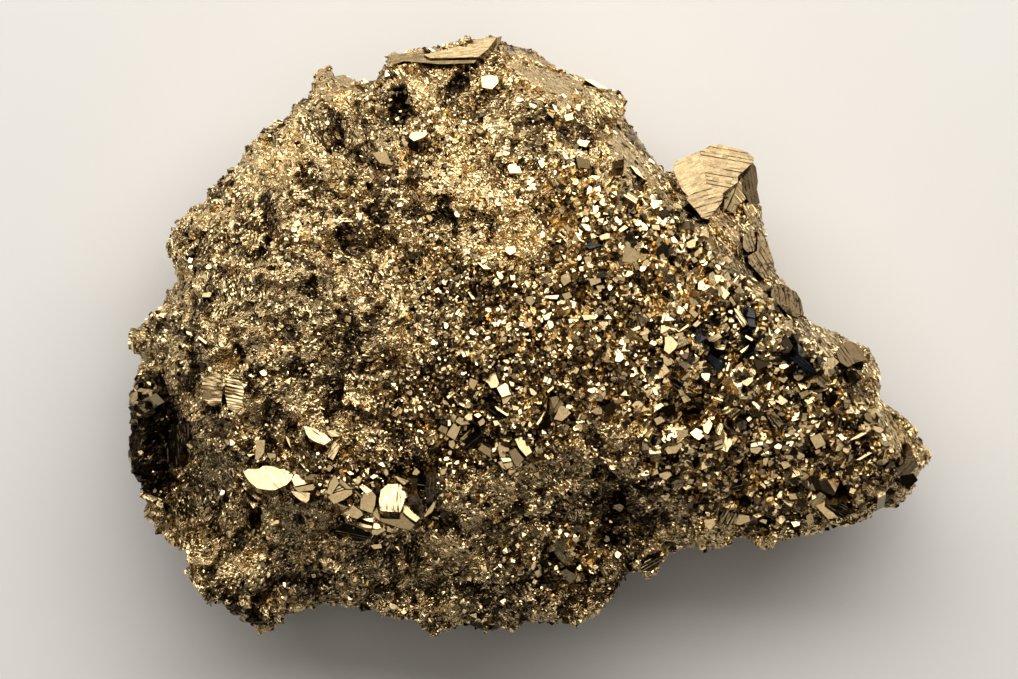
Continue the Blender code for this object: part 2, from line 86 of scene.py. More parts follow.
# How a crystal face of each brightness lies: lean towards the upper edge in degrees, how much the lean
# varies, and how bright it is painted. That brightness is partly painted light: a painted highlight on the
# brighter faces and painted shade on the darker ones.
TONES = {
    "white": (21, 3, 0.6),
    "cream": (21, 4, 0.32),
    "pale": (6, 3, 0.29),
    "dull": (1, 5, 0.2),
    "dim": (0, 4, 0.06),
    "bronze": (3, 4, 0.13),
    "tan": (1, 5, 0.6),
    "brown": (-3, 5, 0.3),
    "black": (-32, 6, 0.2),
    "deep": (-24, 6, 0.03),
}
# Striations: the spacing and depth of the grooves in millimetres, and their share of the spacing.
STRIAE = {"fine": (0.4, 0.018, 0.35), "lined": (0.6, 0.05, 0.35), "comb": (0.55, 0.12, 1.0)}

# The flat crystal faces, as seen in the usual view: brightness, the corners in pixels of that view, and on
# a striated face the kind of striations and which way they run in degrees from level.
SHELF_FACES = [
    ("white", [(244, 472), (248, 469), (259, 469), (263, 466), (268, 466), (275, 467), (279, 469),
      (285, 469), (293, 475), (291, 480), (286, 485), (279, 488), (275, 490), (268, 490), (257, 488),
      (250, 482), (246, 477)], "fine", -48),
    ("white", [(292, 480), (295, 474), (298, 475), (302, 480), (314, 481), (305, 484), (295, 486)]),
    ("brown", [(304, 479), (311, 474), (320, 475), (321, 478), (315, 480), (305, 480)]),
    ("tan", [(294, 488), (313, 484), (315, 487), (313, 490), (305, 491), (299, 492)]),
    ("cream", [(291, 491), (299, 492), (310, 493), (309, 500), (306, 503), (300, 500),
      (295, 496)], "fine", -40),
    ("white", [(243, 487), (253, 489), (264, 496), (260, 500), (255, 498), (248, 493)], "lined", -35),
    ("white", [(250, 502), (258, 503), (257, 506), (253, 508), (251, 505)]),
    ("white", [(304, 426), (313, 428), (323, 432), (331, 440), (324, 445), (314, 441), (309, 438),
      (306, 433)], "lined", -38),
    ("cream", [(324, 431), (335, 430), (341, 436), (330, 437)], "lined", -30),
    ("tan", [(257, 440), (265, 440), (264, 453), (258, 460), (255, 459), (256, 450)]),
    ("cream", [(244, 449), (247, 454), (255, 454), (249, 457)]),
    ("tan", [(267, 453), (276, 454), (275, 458), (269, 458)]),
    ("cream", [(285, 435), (289, 439), (291, 448), (288, 443)]),
    ("cream", [(335, 441), (340, 447), (333, 460), (328, 457), (329, 450)], "lined", 50),
    ("white", [(300, 463), (305, 467), (312, 473), (307, 471)]),
    ("white", [(298, 524), (305, 526), (304, 528), (300, 527)]),
    ("tan", [(335, 475), (330, 482), (327, 493), (331, 495), (339, 483)]),
    ("tan", [(340, 479), (353, 489), (346, 489), (339, 483)], "lined", -45),
    ("tan", [(328, 497), (331, 494), (345, 490), (352, 490), (352, 494), (343, 500), (334, 504)]),
    ("brown", [(332, 490), (338, 485), (344, 489), (340, 493), (333, 494)], "comb", 20),
    ("tan", [(364, 494), (372, 491), (376, 496), (375, 505), (372, 513), (360, 509), (361, 498)]),
    ("white", [(358, 485), (363, 484), (372, 491), (367, 495)], "lined", -45),
    ("brown", [(354, 489), (363, 497), (362, 499), (355, 492)], "lined", -45),
    ("tan", [(353, 505), (362, 512), (363, 515), (357, 519), (346, 515), (346, 512)]),
    ("brown", [(337, 503), (348, 507), (345, 509), (338, 505)]),
    ("white", [(381, 490), (388, 484), (400, 484), (406, 494), (405, 500), (400, 512), (384, 511),
      (380, 510), (379, 500)], "comb", 83),
    ("brown", [(380, 511), (402, 512), (410, 519), (416, 524), (410, 530), (400, 528), (380, 521)]),
    ("cream", [(405, 501), (408, 507), (412, 512), (420, 518), (416, 522), (410, 518), (403, 512)]),
    ("tan", [(377, 508), (380, 521), (374, 516), (373, 514)]),
    ("black", [(408, 497), (418, 495), (426, 510), (421, 517), (412, 511), (408, 505)]),
    ("black", [(410, 477), (424, 479), (425, 494), (420, 493), (409, 489)], "lined", -10),
    ("brown", [(409, 489), (418, 490), (419, 494), (410, 492)], "lined", -10),
    ("black", [(426, 477), (436, 477), (437, 493), (435, 503), (427, 509), (425, 490)], "lined", 88),
    ("tan", [(435, 500), (438, 499), (432, 512), (425, 517), (424, 516)]),
    ("black", [(336, 528), (345, 524), (348, 521), (372, 529), (370, 538), (358, 542), (342, 539),
      (335, 534)], "lined", -14),
    ("white", [(345, 519), (372, 526), (371, 529), (347, 522)], "comb", -14),
    ("cream", [(340, 524), (346, 524), (349, 527), (344, 528)]),
    ("white", [(363, 519), (373, 518), (373, 522), (367, 521)]),
    ("white", [(374, 523), (379, 524), (381, 528), (377, 529), (373, 528)]),
    ("tan", [(372, 530), (384, 528), (386, 530), (377, 535), (372, 534)]),
    ("tan", [(396, 476), (409, 481), (404, 485), (395, 478)], "lined", -30),
    ("tan", [(413, 472), (416, 468), (420, 472), (417, 475), (412, 475)]),
    ("cream", [(387, 467), (394, 465), (392, 469), (388, 471)]),
    ("white", [(370, 477), (376, 473), (378, 476), (373, 479)]),
    ("white", [(347, 472), (350, 471), (354, 474), (350, 475)]),
    ("black", [(401, 470), (410, 476), (408, 478), (400, 472)], "lined", -35),
    ("white", [(416, 541), (426, 543), (425, 546), (419, 544)]),
    ("tan", [(370, 545), (381, 544), (382, 548), (374, 549)]),
]
CENTRE_FACES = [
    ("cream", [(482, 373), (495, 372), (499, 383), (497, 387), (491, 388), (488, 383), (483, 380)]),
    ("white", [(497, 388), (505, 383), (508, 385), (509, 391), (511, 394), (502, 397), (499, 392)]),
    ("tan", [(502, 399), (512, 396), (509, 400), (507, 403), (503, 404)]),
    ("tan", [(470, 378), (478, 381), (473, 391), (469, 385)]),
    ("white", [(509, 381), (514, 383), (514, 386), (511, 386)]),
    ("cream", [(529, 387), (534, 390), (537, 393), (535, 396), (531, 394)]),
    ("cream", [(547, 391), (553, 386), (554, 388), (548, 393)]),
    ("white", [(453, 398), (461, 401), (466, 406), (464, 407), (457, 403)]),
    ("black", [(487, 410), (492, 405), (501, 414), (498, 419), (491, 415)], "lined", -42),
    ("white", [(492, 404), (509, 415), (507, 416), (495, 408)]),
    ("white", [(474, 415), (478, 413), (482, 415), (478, 418)]),
    ("tan", [(478, 422), (483, 418), (485, 421), (484, 424), (480, 426)]),
    ("cream", [(512, 405), (519, 407), (518, 410), (513, 410)]),
    ("white", [(518, 410), (521, 409), (522, 413), (519, 415)]),
    ("cream", [(493, 421), (497, 420), (500, 424), (495, 426)]),
    ("white", [(448, 420), (450, 420), (451, 425), (448, 426)]),
    ("tan", [(456, 420), (459, 417), (469, 420), (470, 424), (461, 425), (456, 422)]),
    ("tan", [(454, 423), (460, 429), (455, 440), (447, 435), (448, 432)]),
    ("brown", [(441, 425), (448, 428), (446, 434), (438, 430)]),
    ("tan", [(449, 441), (454, 440), (455, 444), (453, 449), (449, 446)]),
    ("black", [(463, 440), (474, 431), (482, 435), (483, 439), (475, 449), (469, 449)], "lined", 48),
    ("tan", [(460, 439), (470, 430), (473, 430), (463, 440)], "lined", 42),
    ("black", [(485, 441), (495, 445), (494, 448), (483, 444)], "lined", -30),
    ("brown", [(482, 444), (491, 449), (491, 458), (478, 449)]),
    ("white", [(500, 435), (512, 434), (512, 439), (509, 442), (505, 441), (501, 439)]),
    ("tan", [(499, 442), (509, 444), (509, 450), (508, 458), (500, 457), (498, 449)]),
    ("white", [(515, 435), (517, 429), (522, 434), (517, 435)]),
    ("cream", [(515, 439), (524, 436), (532, 452), (526, 456), (519, 448)]),
    ("brown", [(509, 452), (515, 448), (524, 459), (517, 467), (514, 463)]),
    ("white", [(501, 458), (511, 458), (511, 461), (503, 462)]),
    ("tan", [(498, 462), (502, 461), (504, 467), (507, 470), (502, 468)]),
    ("tan", [(503, 464), (512, 462), (513, 466), (507, 469)]),
    ("black", [(537, 425), (546, 412), (549, 414), (552, 422), (549, 428), (541, 428)], "lined", 50),
    ("cream", [(536, 424), (545, 411), (547, 412), (538, 425)]),
    ("tan", [(556, 415), (560, 406), (564, 406), (571, 413), (562, 421), (554, 419)]),
    ("brown", [(548, 398), (557, 396), (564, 404), (555, 413), (550, 410)], "lined", 60),
    ("white", [(528, 434), (532, 434), (531, 437), (528, 436)]),
    ("tan", [(440, 470), (447, 468), (445, 474), (441, 475)]),
    ("cream", [(463, 465), (466, 463), (467, 468), (464, 469)]),
    ("tan", [(508, 471), (515, 470), (514, 472), (509, 474)]),
]
RIGHT_FACES = [
    ("dull", [(753, 163), (756, 167), (758, 181), (757, 189), (760, 203), (751, 207), (747, 198),
      (743, 191), (742, 177)], "lined", -80),
    ("tan", [(738, 183), (741, 179), (742, 191), (746, 199), (738, 205), (731, 203)], "lined", -50),
    ("tan", [(725, 195), (736, 185), (731, 202), (737, 206), (735, 214), (724, 208)], "lined", 65),
    ("tan", [(742, 206), (752, 204), (758, 211), (754, 217), (746, 215)], "comb", -60),
    ("cream", [(665, 337), (670, 336), (673, 338), (678, 344), (675, 349), (669, 354), (664, 350),
      (665, 344)]),
    ("tan", [(663, 357), (666, 354), (673, 360), (672, 364), (667, 366), (664, 363)]),
    ("tan", [(675, 334), (683, 332), (684, 336), (677, 337)]),
    ("white", [(675, 329), (679, 331), (688, 324), (689, 326), (679, 332)]),
    ("cream", [(692, 325), (698, 320), (702, 322), (696, 327)], "lined", 60),
    ("cream", [(720, 318), (726, 315), (728, 319), (724, 323)]),
    ("tan", [(720, 326), (727, 323), (730, 328), (727, 332)], "lined", 60),
    ("cream", [(707, 338), (719, 333), (722, 337), (714, 342), (709, 341)], "fine", 30),
    ("white", [(713, 346), (715, 344), (726, 345), (724, 350), (714, 348)], "lined", 4),
    ("white", [(701, 374), (705, 371), (710, 374), (709, 379), (706, 381), (702, 377)]),
    ("cream", [(740, 381), (753, 377), (753, 381), (747, 386), (743, 384)]),
    ("white", [(740, 351), (752, 343), (752, 345), (742, 353)]),
    ("white", [(746, 335), (753, 339), (752, 341), (745, 337)]),
    ("white", [(769, 327), (771, 335), (769, 336)]),
    ("white", [(757, 327), (759, 328), (757, 333), (755, 332)]),
    ("tan", [(736, 366), (742, 362), (743, 366), (738, 369)]),
    ("tan", [(767, 364), (772, 362), (772, 367), (768, 368)]),
    ("tan", [(678, 390), (682, 389), (691, 400), (684, 403)], "lined", -50),
    ("white", [(779, 364), (783, 361), (789, 366), (784, 369), (780, 368)]),
    ("brown", [(793, 371), (799, 370), (798, 381), (794, 378)]),
    ("brown", [(799, 371), (804, 376), (802, 379), (798, 381)]),
    ("white", [(798, 384), (803, 383), (807, 388), (802, 391)]),
    ("brown", [(799, 393), (808, 390), (809, 394), (802, 399)]),
    ("cream", [(814, 391), (819, 388), (828, 387), (828, 389), (821, 392), (816, 393)]),
    ("brown", [(814, 394), (822, 393), (822, 400), (817, 399)]),
    ("white", [(804, 400), (810, 397), (813, 402), (808, 404)], "lined", 70),
    ("cream", [(775, 401), (780, 395), (788, 401), (782, 405)]),
    ("tan", [(778, 378), (783, 374), (788, 378), (784, 383), (779, 380)]),
    ("black", [(677, 231), (690, 228), (695, 232), (688, 237)]),
    ("cream", [(684, 244), (693, 239), (696, 240), (695, 247), (689, 248)]),
    ("tan", [(690, 258), (695, 257), (698, 261), (694, 263)]),
    ("white", [(734, 308), (740, 311), (748, 324), (743, 327), (736, 316)], "comb", -58),
    ("white", [(729, 309), (733, 310), (732, 314), (728, 312)]),
    ("white", [(729, 317), (734, 317), (734, 322), (729, 322)]),
    ("tan", [(691, 308), (699, 314), (695, 318), (689, 312)]),
    ("tan", [(731, 296), (736, 304), (734, 306), (729, 299)]),
    ("white", [(743, 294), (747, 297), (747, 302), (743, 300)]),
    ("white", [(690, 433), (696, 428), (702, 431), (704, 436), (699, 440), (694, 437)]),
    ("white", [(703, 424), (711, 424), (712, 426), (708, 434), (704, 432)]),
    ("brown", [(704, 434), (710, 436), (707, 440), (704, 437)]),
    ("white", [(720, 439), (725, 436), (731, 441), (732, 444), (727, 452), (717, 448)], "lined", 80),
    ("white", [(714, 425), (722, 423), (725, 433), (716, 436)], "comb", 70),
    ("black", [(725, 431), (731, 428), (736, 432), (729, 439)]),
    ("white", [(726, 410), (737, 407), (741, 412), (734, 420), (727, 416)], "comb", 40),
    ("black", [(736, 424), (742, 420), (747, 422), (746, 429), (740, 431)]),
    ("cream", [(747, 422), (751, 421), (754, 425), (751, 428)]),
    ("brown", [(767, 416), (775, 411), (784, 424), (776, 430)], "comb", -52),
    ("white", [(751, 444), (757, 442), (758, 446), (751, 447)]),
    ("tan", [(750, 448), (761, 447), (762, 449), (757, 454), (751, 452)]),
    ("white", [(774, 446), (779, 443), (782, 446), (780, 449), (775, 448)]),
    ("tan", [(665, 449), (670, 444), (677, 444), (680, 448), (676, 453), (668, 454)]),
    ("white", [(649, 450), (660, 449), (661, 453), (650, 454)]),
    ("tan", [(659, 474), (669, 471), (672, 475), (666, 480), (660, 477)]),
    ("white", [(681, 482), (690, 485), (692, 487), (686, 490), (681, 486)]),
    ("brown", [(720, 517), (725, 510), (739, 510), (736, 524), (721, 524)], "comb", 62),
    ("tan", [(739, 514), (749, 516), (750, 521), (740, 525), (736, 524)]),
    ("tan", [(704, 520), (714, 519), (715, 525), (710, 530), (705, 526)]),
    ("white", [(752, 515), (764, 512), (766, 514), (757, 518)]),
    ("tan", [(757, 518), (767, 520), (766, 524), (759, 521)]),
    ("white", [(771, 525), (779, 524), (781, 527), (775, 529)]),
    ("cream", [(776, 517), (784, 515), (786, 520), (781, 524), (776, 521)]),
    ("white", [(791, 522), (799, 521), (800, 525), (794, 527)]),
    ("cream", [(782, 499), (794, 503), (791, 507), (784, 502)], "lined", -28),
    ("black", [(780, 504), (790, 507), (789, 512), (780, 510)]),
    ("tan", [(789, 482), (797, 480), (799, 485), (792, 486)]),
    ("tan", [(763, 459), (769, 457), (766, 466), (763, 464)]),
    ("brown", [(767, 461), (774, 459), (775, 462), (769, 467)]),
    ("tan", [(780, 462), (789, 461), (791, 466), (784, 469)]),
    ("black", [(661, 407), (675, 404), (675, 414), (665, 416)]),
    ("black", [(684, 414), (700, 414), (699, 421), (684, 421)]),
    ("black", [(694, 402), (702, 402), (704, 409), (697, 410)]),
    ("tan", [(669, 422), (681, 411), (682, 414), (675, 424)], "lined", 42),
    ("tan", [(654, 419), (661, 416), (665, 421), (657, 425)]),
    ("white", [(654, 407), (661, 403), (664, 406), (657, 410)]),
    ("black", [(729, 486), (744, 484), (740, 490), (732, 492)], "lined", 20),
    ("black", [(739, 504), (747, 501), (749, 507), (742, 510)]),
    ("tan", [(810, 438), (820, 433), (826, 444), (816, 449)]),
    ("cream", [(848, 441), (864, 431), (867, 433), (858, 438)]),
    ("cream", [(856, 460), (870, 451), (872, 453), (860, 460)]),
    ("cream", [(875, 488), (884, 486), (886, 494), (878, 498)]),
    ("tan", [(816, 506), (824, 502), (838, 518), (828, 519)]),
    ("black", [(825, 506), (844, 502), (852, 514), (840, 518)], "comb", -42),
    ("brown", [(806, 516), (812, 512), (814, 522), (808, 526)]),
    ("cream", [(812, 490), (817, 489), (816, 498), (812, 500)]),
    ("brown", [(820, 492), (826, 496), (816, 510), (808, 502)], "lined", 55),
]
UPPER_FACES = [
    ("white", [(481, 77), (490, 75), (499, 77), (498, 83), (492, 89), (482, 87)]),
    ("white", [(409, 137), (412, 131), (428, 133), (424, 137), (414, 141)]),
    ("black", [(407, 141), (414, 139), (419, 145), (418, 153), (408, 147)]),
    ("tan", [(372, 153), (386, 151), (392, 165), (380, 163)]),
    ("black", [(418, 153), (430, 153), (426, 157)]),
    ("white", [(576, 139), (590, 141), (586, 147), (578, 145)]),
    ("white", [(630, 165), (638, 169), (644, 179), (636, 173)]),
    ("black", [(612, 169), (624, 167), (622, 177), (613, 177)]),
    ("brown", [(576, 157), (588, 159), (590, 169), (578, 167)]),
    ("white", [(564, 115), (572, 113), (574, 119), (566, 121)]),
    ("white", [(506, 165), (518, 163), (522, 173), (510, 173)]),
    ("white", [(584, 79), (592, 80), (608, 89), (602, 90)]),
    ("white", [(505, 251), (506, 247), (515, 246), (516, 252), (510, 255)]),
    ("white", [(477, 262), (484, 264), (491, 269), (484, 269)]),
    ("black", [(549, 254), (556, 244), (557, 250), (550, 260)]),
    ("tan", [(555, 257), (560, 255), (562, 260), (556, 261)]),
    ("white", [(561, 254), (566, 256), (565, 260)]),
    ("white", [(581, 224), (585, 224), (592, 227), (590, 231), (586, 230)]),
    ("cream", [(599, 236), (610, 232), (610, 238), (601, 240)]),
    ("tan", [(584, 257), (591, 256), (592, 262), (586, 265)]),
    ("white", [(579, 267), (584, 266), (584, 271), (580, 271)]),
    ("tan", [(561, 276), (569, 272), (571, 281), (564, 286), (561, 281)]),
    ("tan", [(589, 279), (600, 277), (601, 282), (591, 286)]),
    ("tan", [(596, 286), (604, 285), (605, 290), (599, 292)]),
    ("tan", [(562, 294), (570, 292), (572, 297), (565, 300)]),
    ("black", [(576, 292), (584, 290), (585, 304), (576, 305)]),
    ("tan", [(526, 297), (532, 296), (535, 301), (531, 306), (526, 302)]),
    ("white", [(542, 315), (552, 312), (549, 319), (545, 320)]),
    ("cream", [(582, 315), (594, 315), (595, 319), (584, 320)]),
    ("black", [(500, 285), (507, 282), (509, 287), (502, 291)]),
    ("black", [(470, 290), (476, 289), (477, 296), (474, 299)]),
    ("white", [(468, 292), (471, 292), (475, 299), (472, 299)]),
    ("white", [(510, 275), (515, 275), (515, 280), (511, 280)]),
    ("white", [(544, 296), (559, 295), (557, 299), (546, 298)]),
    ("white", [(618, 230), (626, 224), (629, 227), (621, 232)]),
    ("cream", [(652, 225), (659, 225), (660, 230), (652, 229)]),
    ("white", [(640, 238), (646, 239), (646, 242), (641, 242)]),
    ("white", [(670, 254), (675, 251), (676, 255), (671, 257)]),
    ("white", [(199, 336), (207, 342), (206, 344), (198, 338)]),
    ("white", [(186, 331), (194, 333), (193, 336), (187, 334)]),
    ("cream", [(203, 293), (212, 292), (210, 297), (202, 297)], "lined", 70),
    ("cream", [(204, 377), (212, 372), (222, 374), (223, 388), (221, 403), (211, 406), (203, 400),
      (201, 388)], "comb", -6),
    ("tan", [(226, 379), (234, 376), (241, 379), (244, 391), (242, 408), (236, 413), (228, 408),
      (225, 393)], "comb", -11),
    ("cream", [(424, 55), (458, 46), (482, 38), (497, 37), (488, 49), (478, 57), (430, 58)], "fine", 9),
    ("tan", [(390, 55), (420, 51), (430, 58), (478, 58), (474, 63), (440, 64), (404, 61),
      (392, 65)], "fine", 4),
    ("brown", [(488, 49), (498, 37), (502, 36), (500, 43), (492, 51)]),
]
EDGE_AND_LOW_FACES = [
    ("tan", [(129, 396), (140, 388), (153, 390), (156, 393), (148, 397), (136, 404),
      (132, 403)], "lined", 25),
    ("cream", [(134, 384), (138, 383), (138, 388), (136, 390)]),
    ("tan", [(130, 419), (137, 419), (138, 424), (129, 424)]),
    ("brown", [(153, 418), (161, 411), (163, 416), (156, 422)], "lined", 50),
    ("black", [(169, 438), (173, 427), (182, 423), (189, 424), (189, 438), (181, 451), (180, 462),
      (173, 469), (167, 464), (164, 451)], "comb", 78),
    ("tan", [(139, 491), (147, 493), (163, 500), (163, 507), (159, 508), (151, 501),
      (142, 497)], "lined", -35),
    ("deep", [(138, 400), (150, 402), (156, 412), (146, 418), (138, 412)], "lined", 10),
    ("deep", [(253, 506), (260, 510), (259, 532), (254, 530)]),
    ("white", [(552, 545), (557, 540), (571, 539), (577, 545), (567, 551), (556, 550)]),
    ("brown", [(554, 552), (566, 552), (574, 554), (572, 561), (566, 565), (559, 559)]),
    ("brown", [(560, 572), (566, 569), (576, 575), (576, 581), (570, 584), (564, 577)]),
    ("brown", [(569, 584), (584, 584), (585, 586), (571, 588)], "lined", 2),
    ("white", [(558, 610), (564, 607), (571, 615), (566, 617)]),
    ("tan", [(536, 565), (540, 564), (542, 569), (539, 570)]),
    ("cream", [(541, 561), (545, 561), (549, 567), (545, 569)], "lined", -60),
    ("tan", [(599, 569), (604, 567), (609, 576), (605, 578)], "comb", -60),
    ("white", [(589, 570), (592, 571), (594, 574), (590, 573)]),
    ("brown", [(641, 566), (647, 560), (664, 556), (661, 562), (649, 574), (641, 570)], "lined", 32),
    ("cream", [(610, 506), (620, 504), (625, 507), (620, 512)]),
]
# The largest faces, which go deeper.
LARGE_FACES = [
    ("pale", [(676, 161), (699, 151), (703, 160), (707, 186), (688, 196), (682, 190), (675, 174),
      (673, 166)], "fine", 24),
    ("pale", [(700, 151), (711, 145), (719, 144), (732, 147), (747, 152), (754, 158), (753, 162),
      (738, 176), (738, 182), (724, 192), (723, 194), (707, 186)], "lined", -8),
    ("pale", [(707, 186), (723, 194), (722, 202), (718, 207), (708, 219), (702, 218), (697, 211),
      (687, 200), (688, 196)], "lined", 20),
    ("bronze", [(743, 236), (753, 229), (756, 240), (754, 251), (747, 252), (743, 247)], "lined", -75),
    ("bronze", [(758, 229), (763, 232), (769, 247), (774, 262), (774, 268), (768, 277), (763, 278),
      (749, 263), (748, 256), (757, 251)], "lined", -60),
    ("dim", [(782, 284), (796, 292), (801, 300), (804, 314), (796, 317), (787, 313), (771, 296),
      (772, 286)], "lined", -85),
    ("dim", [(836, 352), (842, 344), (850, 341), (857, 344), (862, 350), (866, 360), (857, 362),
      (848, 367), (840, 362)], "lined", -58),
    ("dull", [(861, 350), (870, 353), (870, 359), (866, 360)]),
    ("brown", [(846, 371), (857, 371), (862, 378), (856, 384), (849, 383)]),
    ("dull", [(827, 358), (834, 357), (839, 362), (834, 367), (830, 371), (827, 367)], "lined", 85),
    ("brown", [(818, 346), (826, 346), (834, 352), (836, 356), (828, 357), (821, 351)], "lined", -50),
    ("black", [(896, 468), (916, 460), (918, 466), (910, 474), (898, 476)], "lined", 70),
    ("dull", [(902, 476), (914, 474), (918, 480), (908, 490), (902, 484)]),
]
GALENA_FACES = [
    ("black", [(711, 322), (717, 318), (721, 323), (716, 327), (712, 325)]),
    ("black", [(696, 337), (702, 335), (706, 338), (704, 343), (699, 343)]),
    ("black", [(713, 349), (724, 351), (722, 356), (715, 355)]),
    ("black", [(707, 357), (711, 354), (726, 366), (723, 371), (717, 372)], "lined", -48),
    ("black", [(743, 353), (753, 346), (754, 354), (747, 359), (743, 357)], "lined", 35),
    ("black", [(741, 339), (746, 336), (752, 342), (744, 347)]),
    ("black", [(747, 316), (755, 318), (756, 324), (751, 323), (747, 319)]),
    ("black", [(749, 326), (756, 327), (755, 332), (751, 332)]),
    ("black", [(792, 358), (799, 354), (817, 371), (812, 376), (803, 369), (794, 362)], "lined", -45),
    ("black", [(781, 356), (788, 352), (791, 360), (788, 362), (782, 359)]),
    ("brown", [(585, 245), (592, 241), (602, 245), (590, 249)], "lined", 10),
]

# Where the crust is coarse: centre x, centre y, half length, half width, turn, weight.
COARSE_CRUST = [
    (24, -3, 47, 24, -24, 1.0), (-9, -14, 19, 12, 0, 1.0), (-30, -28, 14, 6, 0, 0.8),
    (5, -44, 10, 7, 0, 0.35), (-20, 42, 8, 5, 0, 0.4), (14, 24, 16, 8, -30, 0.8), (15, -23, 8, 7, 0, -1.2),
    (-1, 15, 8, 3, -10, -0.9), (20.5, 1.5, 6, 5, 0, -0.6), (-8, 22.5, 12, 6.5, -25, -1.0),
]
# Rusty stains, in the same terms.
RUST_STAINS = [
    (6, 23, 4, 1.6, -5, 0.6), (13, 27, 4, 2, 20, 0.6), (7, -20.5, 3, 2, 0, 0.5), (-38, -22, 4, 3, 0, 0.4),
    (-20, 14, 3, 2, 0, 0.3), (-10, -22, 3, 2, 0, 0.3),
]
# Brighter and darker places, in the same terms: painted light and painted shade where the surface faces the
# light or turns away from it, and in hollows. Small faces there also lean towards the light or away.
SHADES = [
    (-21, 48, 8, 2.0, -49, 1.6), (-6, 40, 24, 14, 0, 0.4), (-4, 15, 10, 2.5, -10, 1.2),
    (-1, 28, 5, 3, 0, 1.2), (-18, 28.5, 7, 3, 0, 0.6), (-39, 50.5, 5, 4, 0, 1.8),
    (-52, 34.5, 6, 4.5, 0, 1.5), (4, 20, 16, 12, 0, 0.5), (14, 0, 46, 26, -24, 0.25),
    (-25.8, 46.3, 2.2, 4.2, -10, -2.0), (-14.4, 50.7, 2.2, 1.8, 30, -1.4), (8, 50, 14, 5, -25, 0.4),
    (-76, -20.5, 6, 14, 0, -1.2), (17.4, -37, 7, 5, 0, -0.7), (22, -33, 6, 5, 0, -0.5),
    (-20, -53, 48, 10, 0, -0.25), (18, 17.5, 3, 2, 0, -0.4), (14, -24, 8, 6, 0, -0.3),
    (15, -41, 4.5, 1.6, 0, -0.6), (-66, -20, 6, 8, 0, -0.25),
]
# Pits, in the same terms with the depth for the weight. The matrix is painted darker in them as well, as
# painted shade.
PITS = [
    (-55, -36.5, 0.9, 3, 0, 2.5), (-56.2, -21.9, 1.2, 1.3, 0, 2), (-52.2, -21.9, 1.2, 1.3, 0, 2),
    (-25.8, 46.3, 1.8, 3.8, -10, 1.2), (-28.2, 44, 2, 1.6, 0, 0.8), (-14.4, 50.7, 2.0, 1.6, 30, 0.8),
    (63.6, -19.1, 1.7, 1, 0, 2.2), (-46.2, -36.4, 0.8, 1.2, 20, 1.5), (15, -41, 4, 1.2, 0, 1.5),
]

# The ridge between the crystal side and the flank at the upper right, how far the relief is drawn out along
# the grain on the flank and elsewhere, and which way the grain of the flank runs in degrees from level.
RIDGE = [(-8, 60), (6, 49.5), (22, 33.5), (34, 19.5), (52, 1.5), (70, -18.5), (78, -30)]
FLANK_STRETCH = 3.0
GRAIN_STRETCH = 2.2
FLANK_GRAIN = -46
# Which way the grain runs elsewhere: centre x, centre y, half length, half width, turn, degrees from level.
GRAIN = [
    (-66, -24, 14, 20, 0, 68), (-40, -44, 18, 10, 0, 40), (-6, -48, 20, 9, 0, -12),
    (-30, 44, 16, 12, 0, -60), (-62, 20, 12, 16, 0, 70), (-58, -10, 12, 8, 0, 5),
]
# How far the small faces of brighter and darker places lean towards the light or away, how far those of one
# patch lean together, and how bright a small crystal's sides are painted: painted shade on the faces that
# turn away from the ground.
SHADE_LEAN = 0.45
PATCH_LEAN = 0.3
PAINTED_SIDE_SHADE = 0.28

# The relief of the matrix: size of a broken face, its steepest tilt, seed. On the flank the tilts are a
# share of these. The whole relief is lowered a little, and it fades out near the face that it lies on.
RELIEF = [(6.5, 0.28, 20), (2.8, 0.3, 21), (1.3, 0.32, 22)]
FLANK_TILT = 0.45
RELIEF_DROP = 0.35
RELIEF_FADE = 1.5
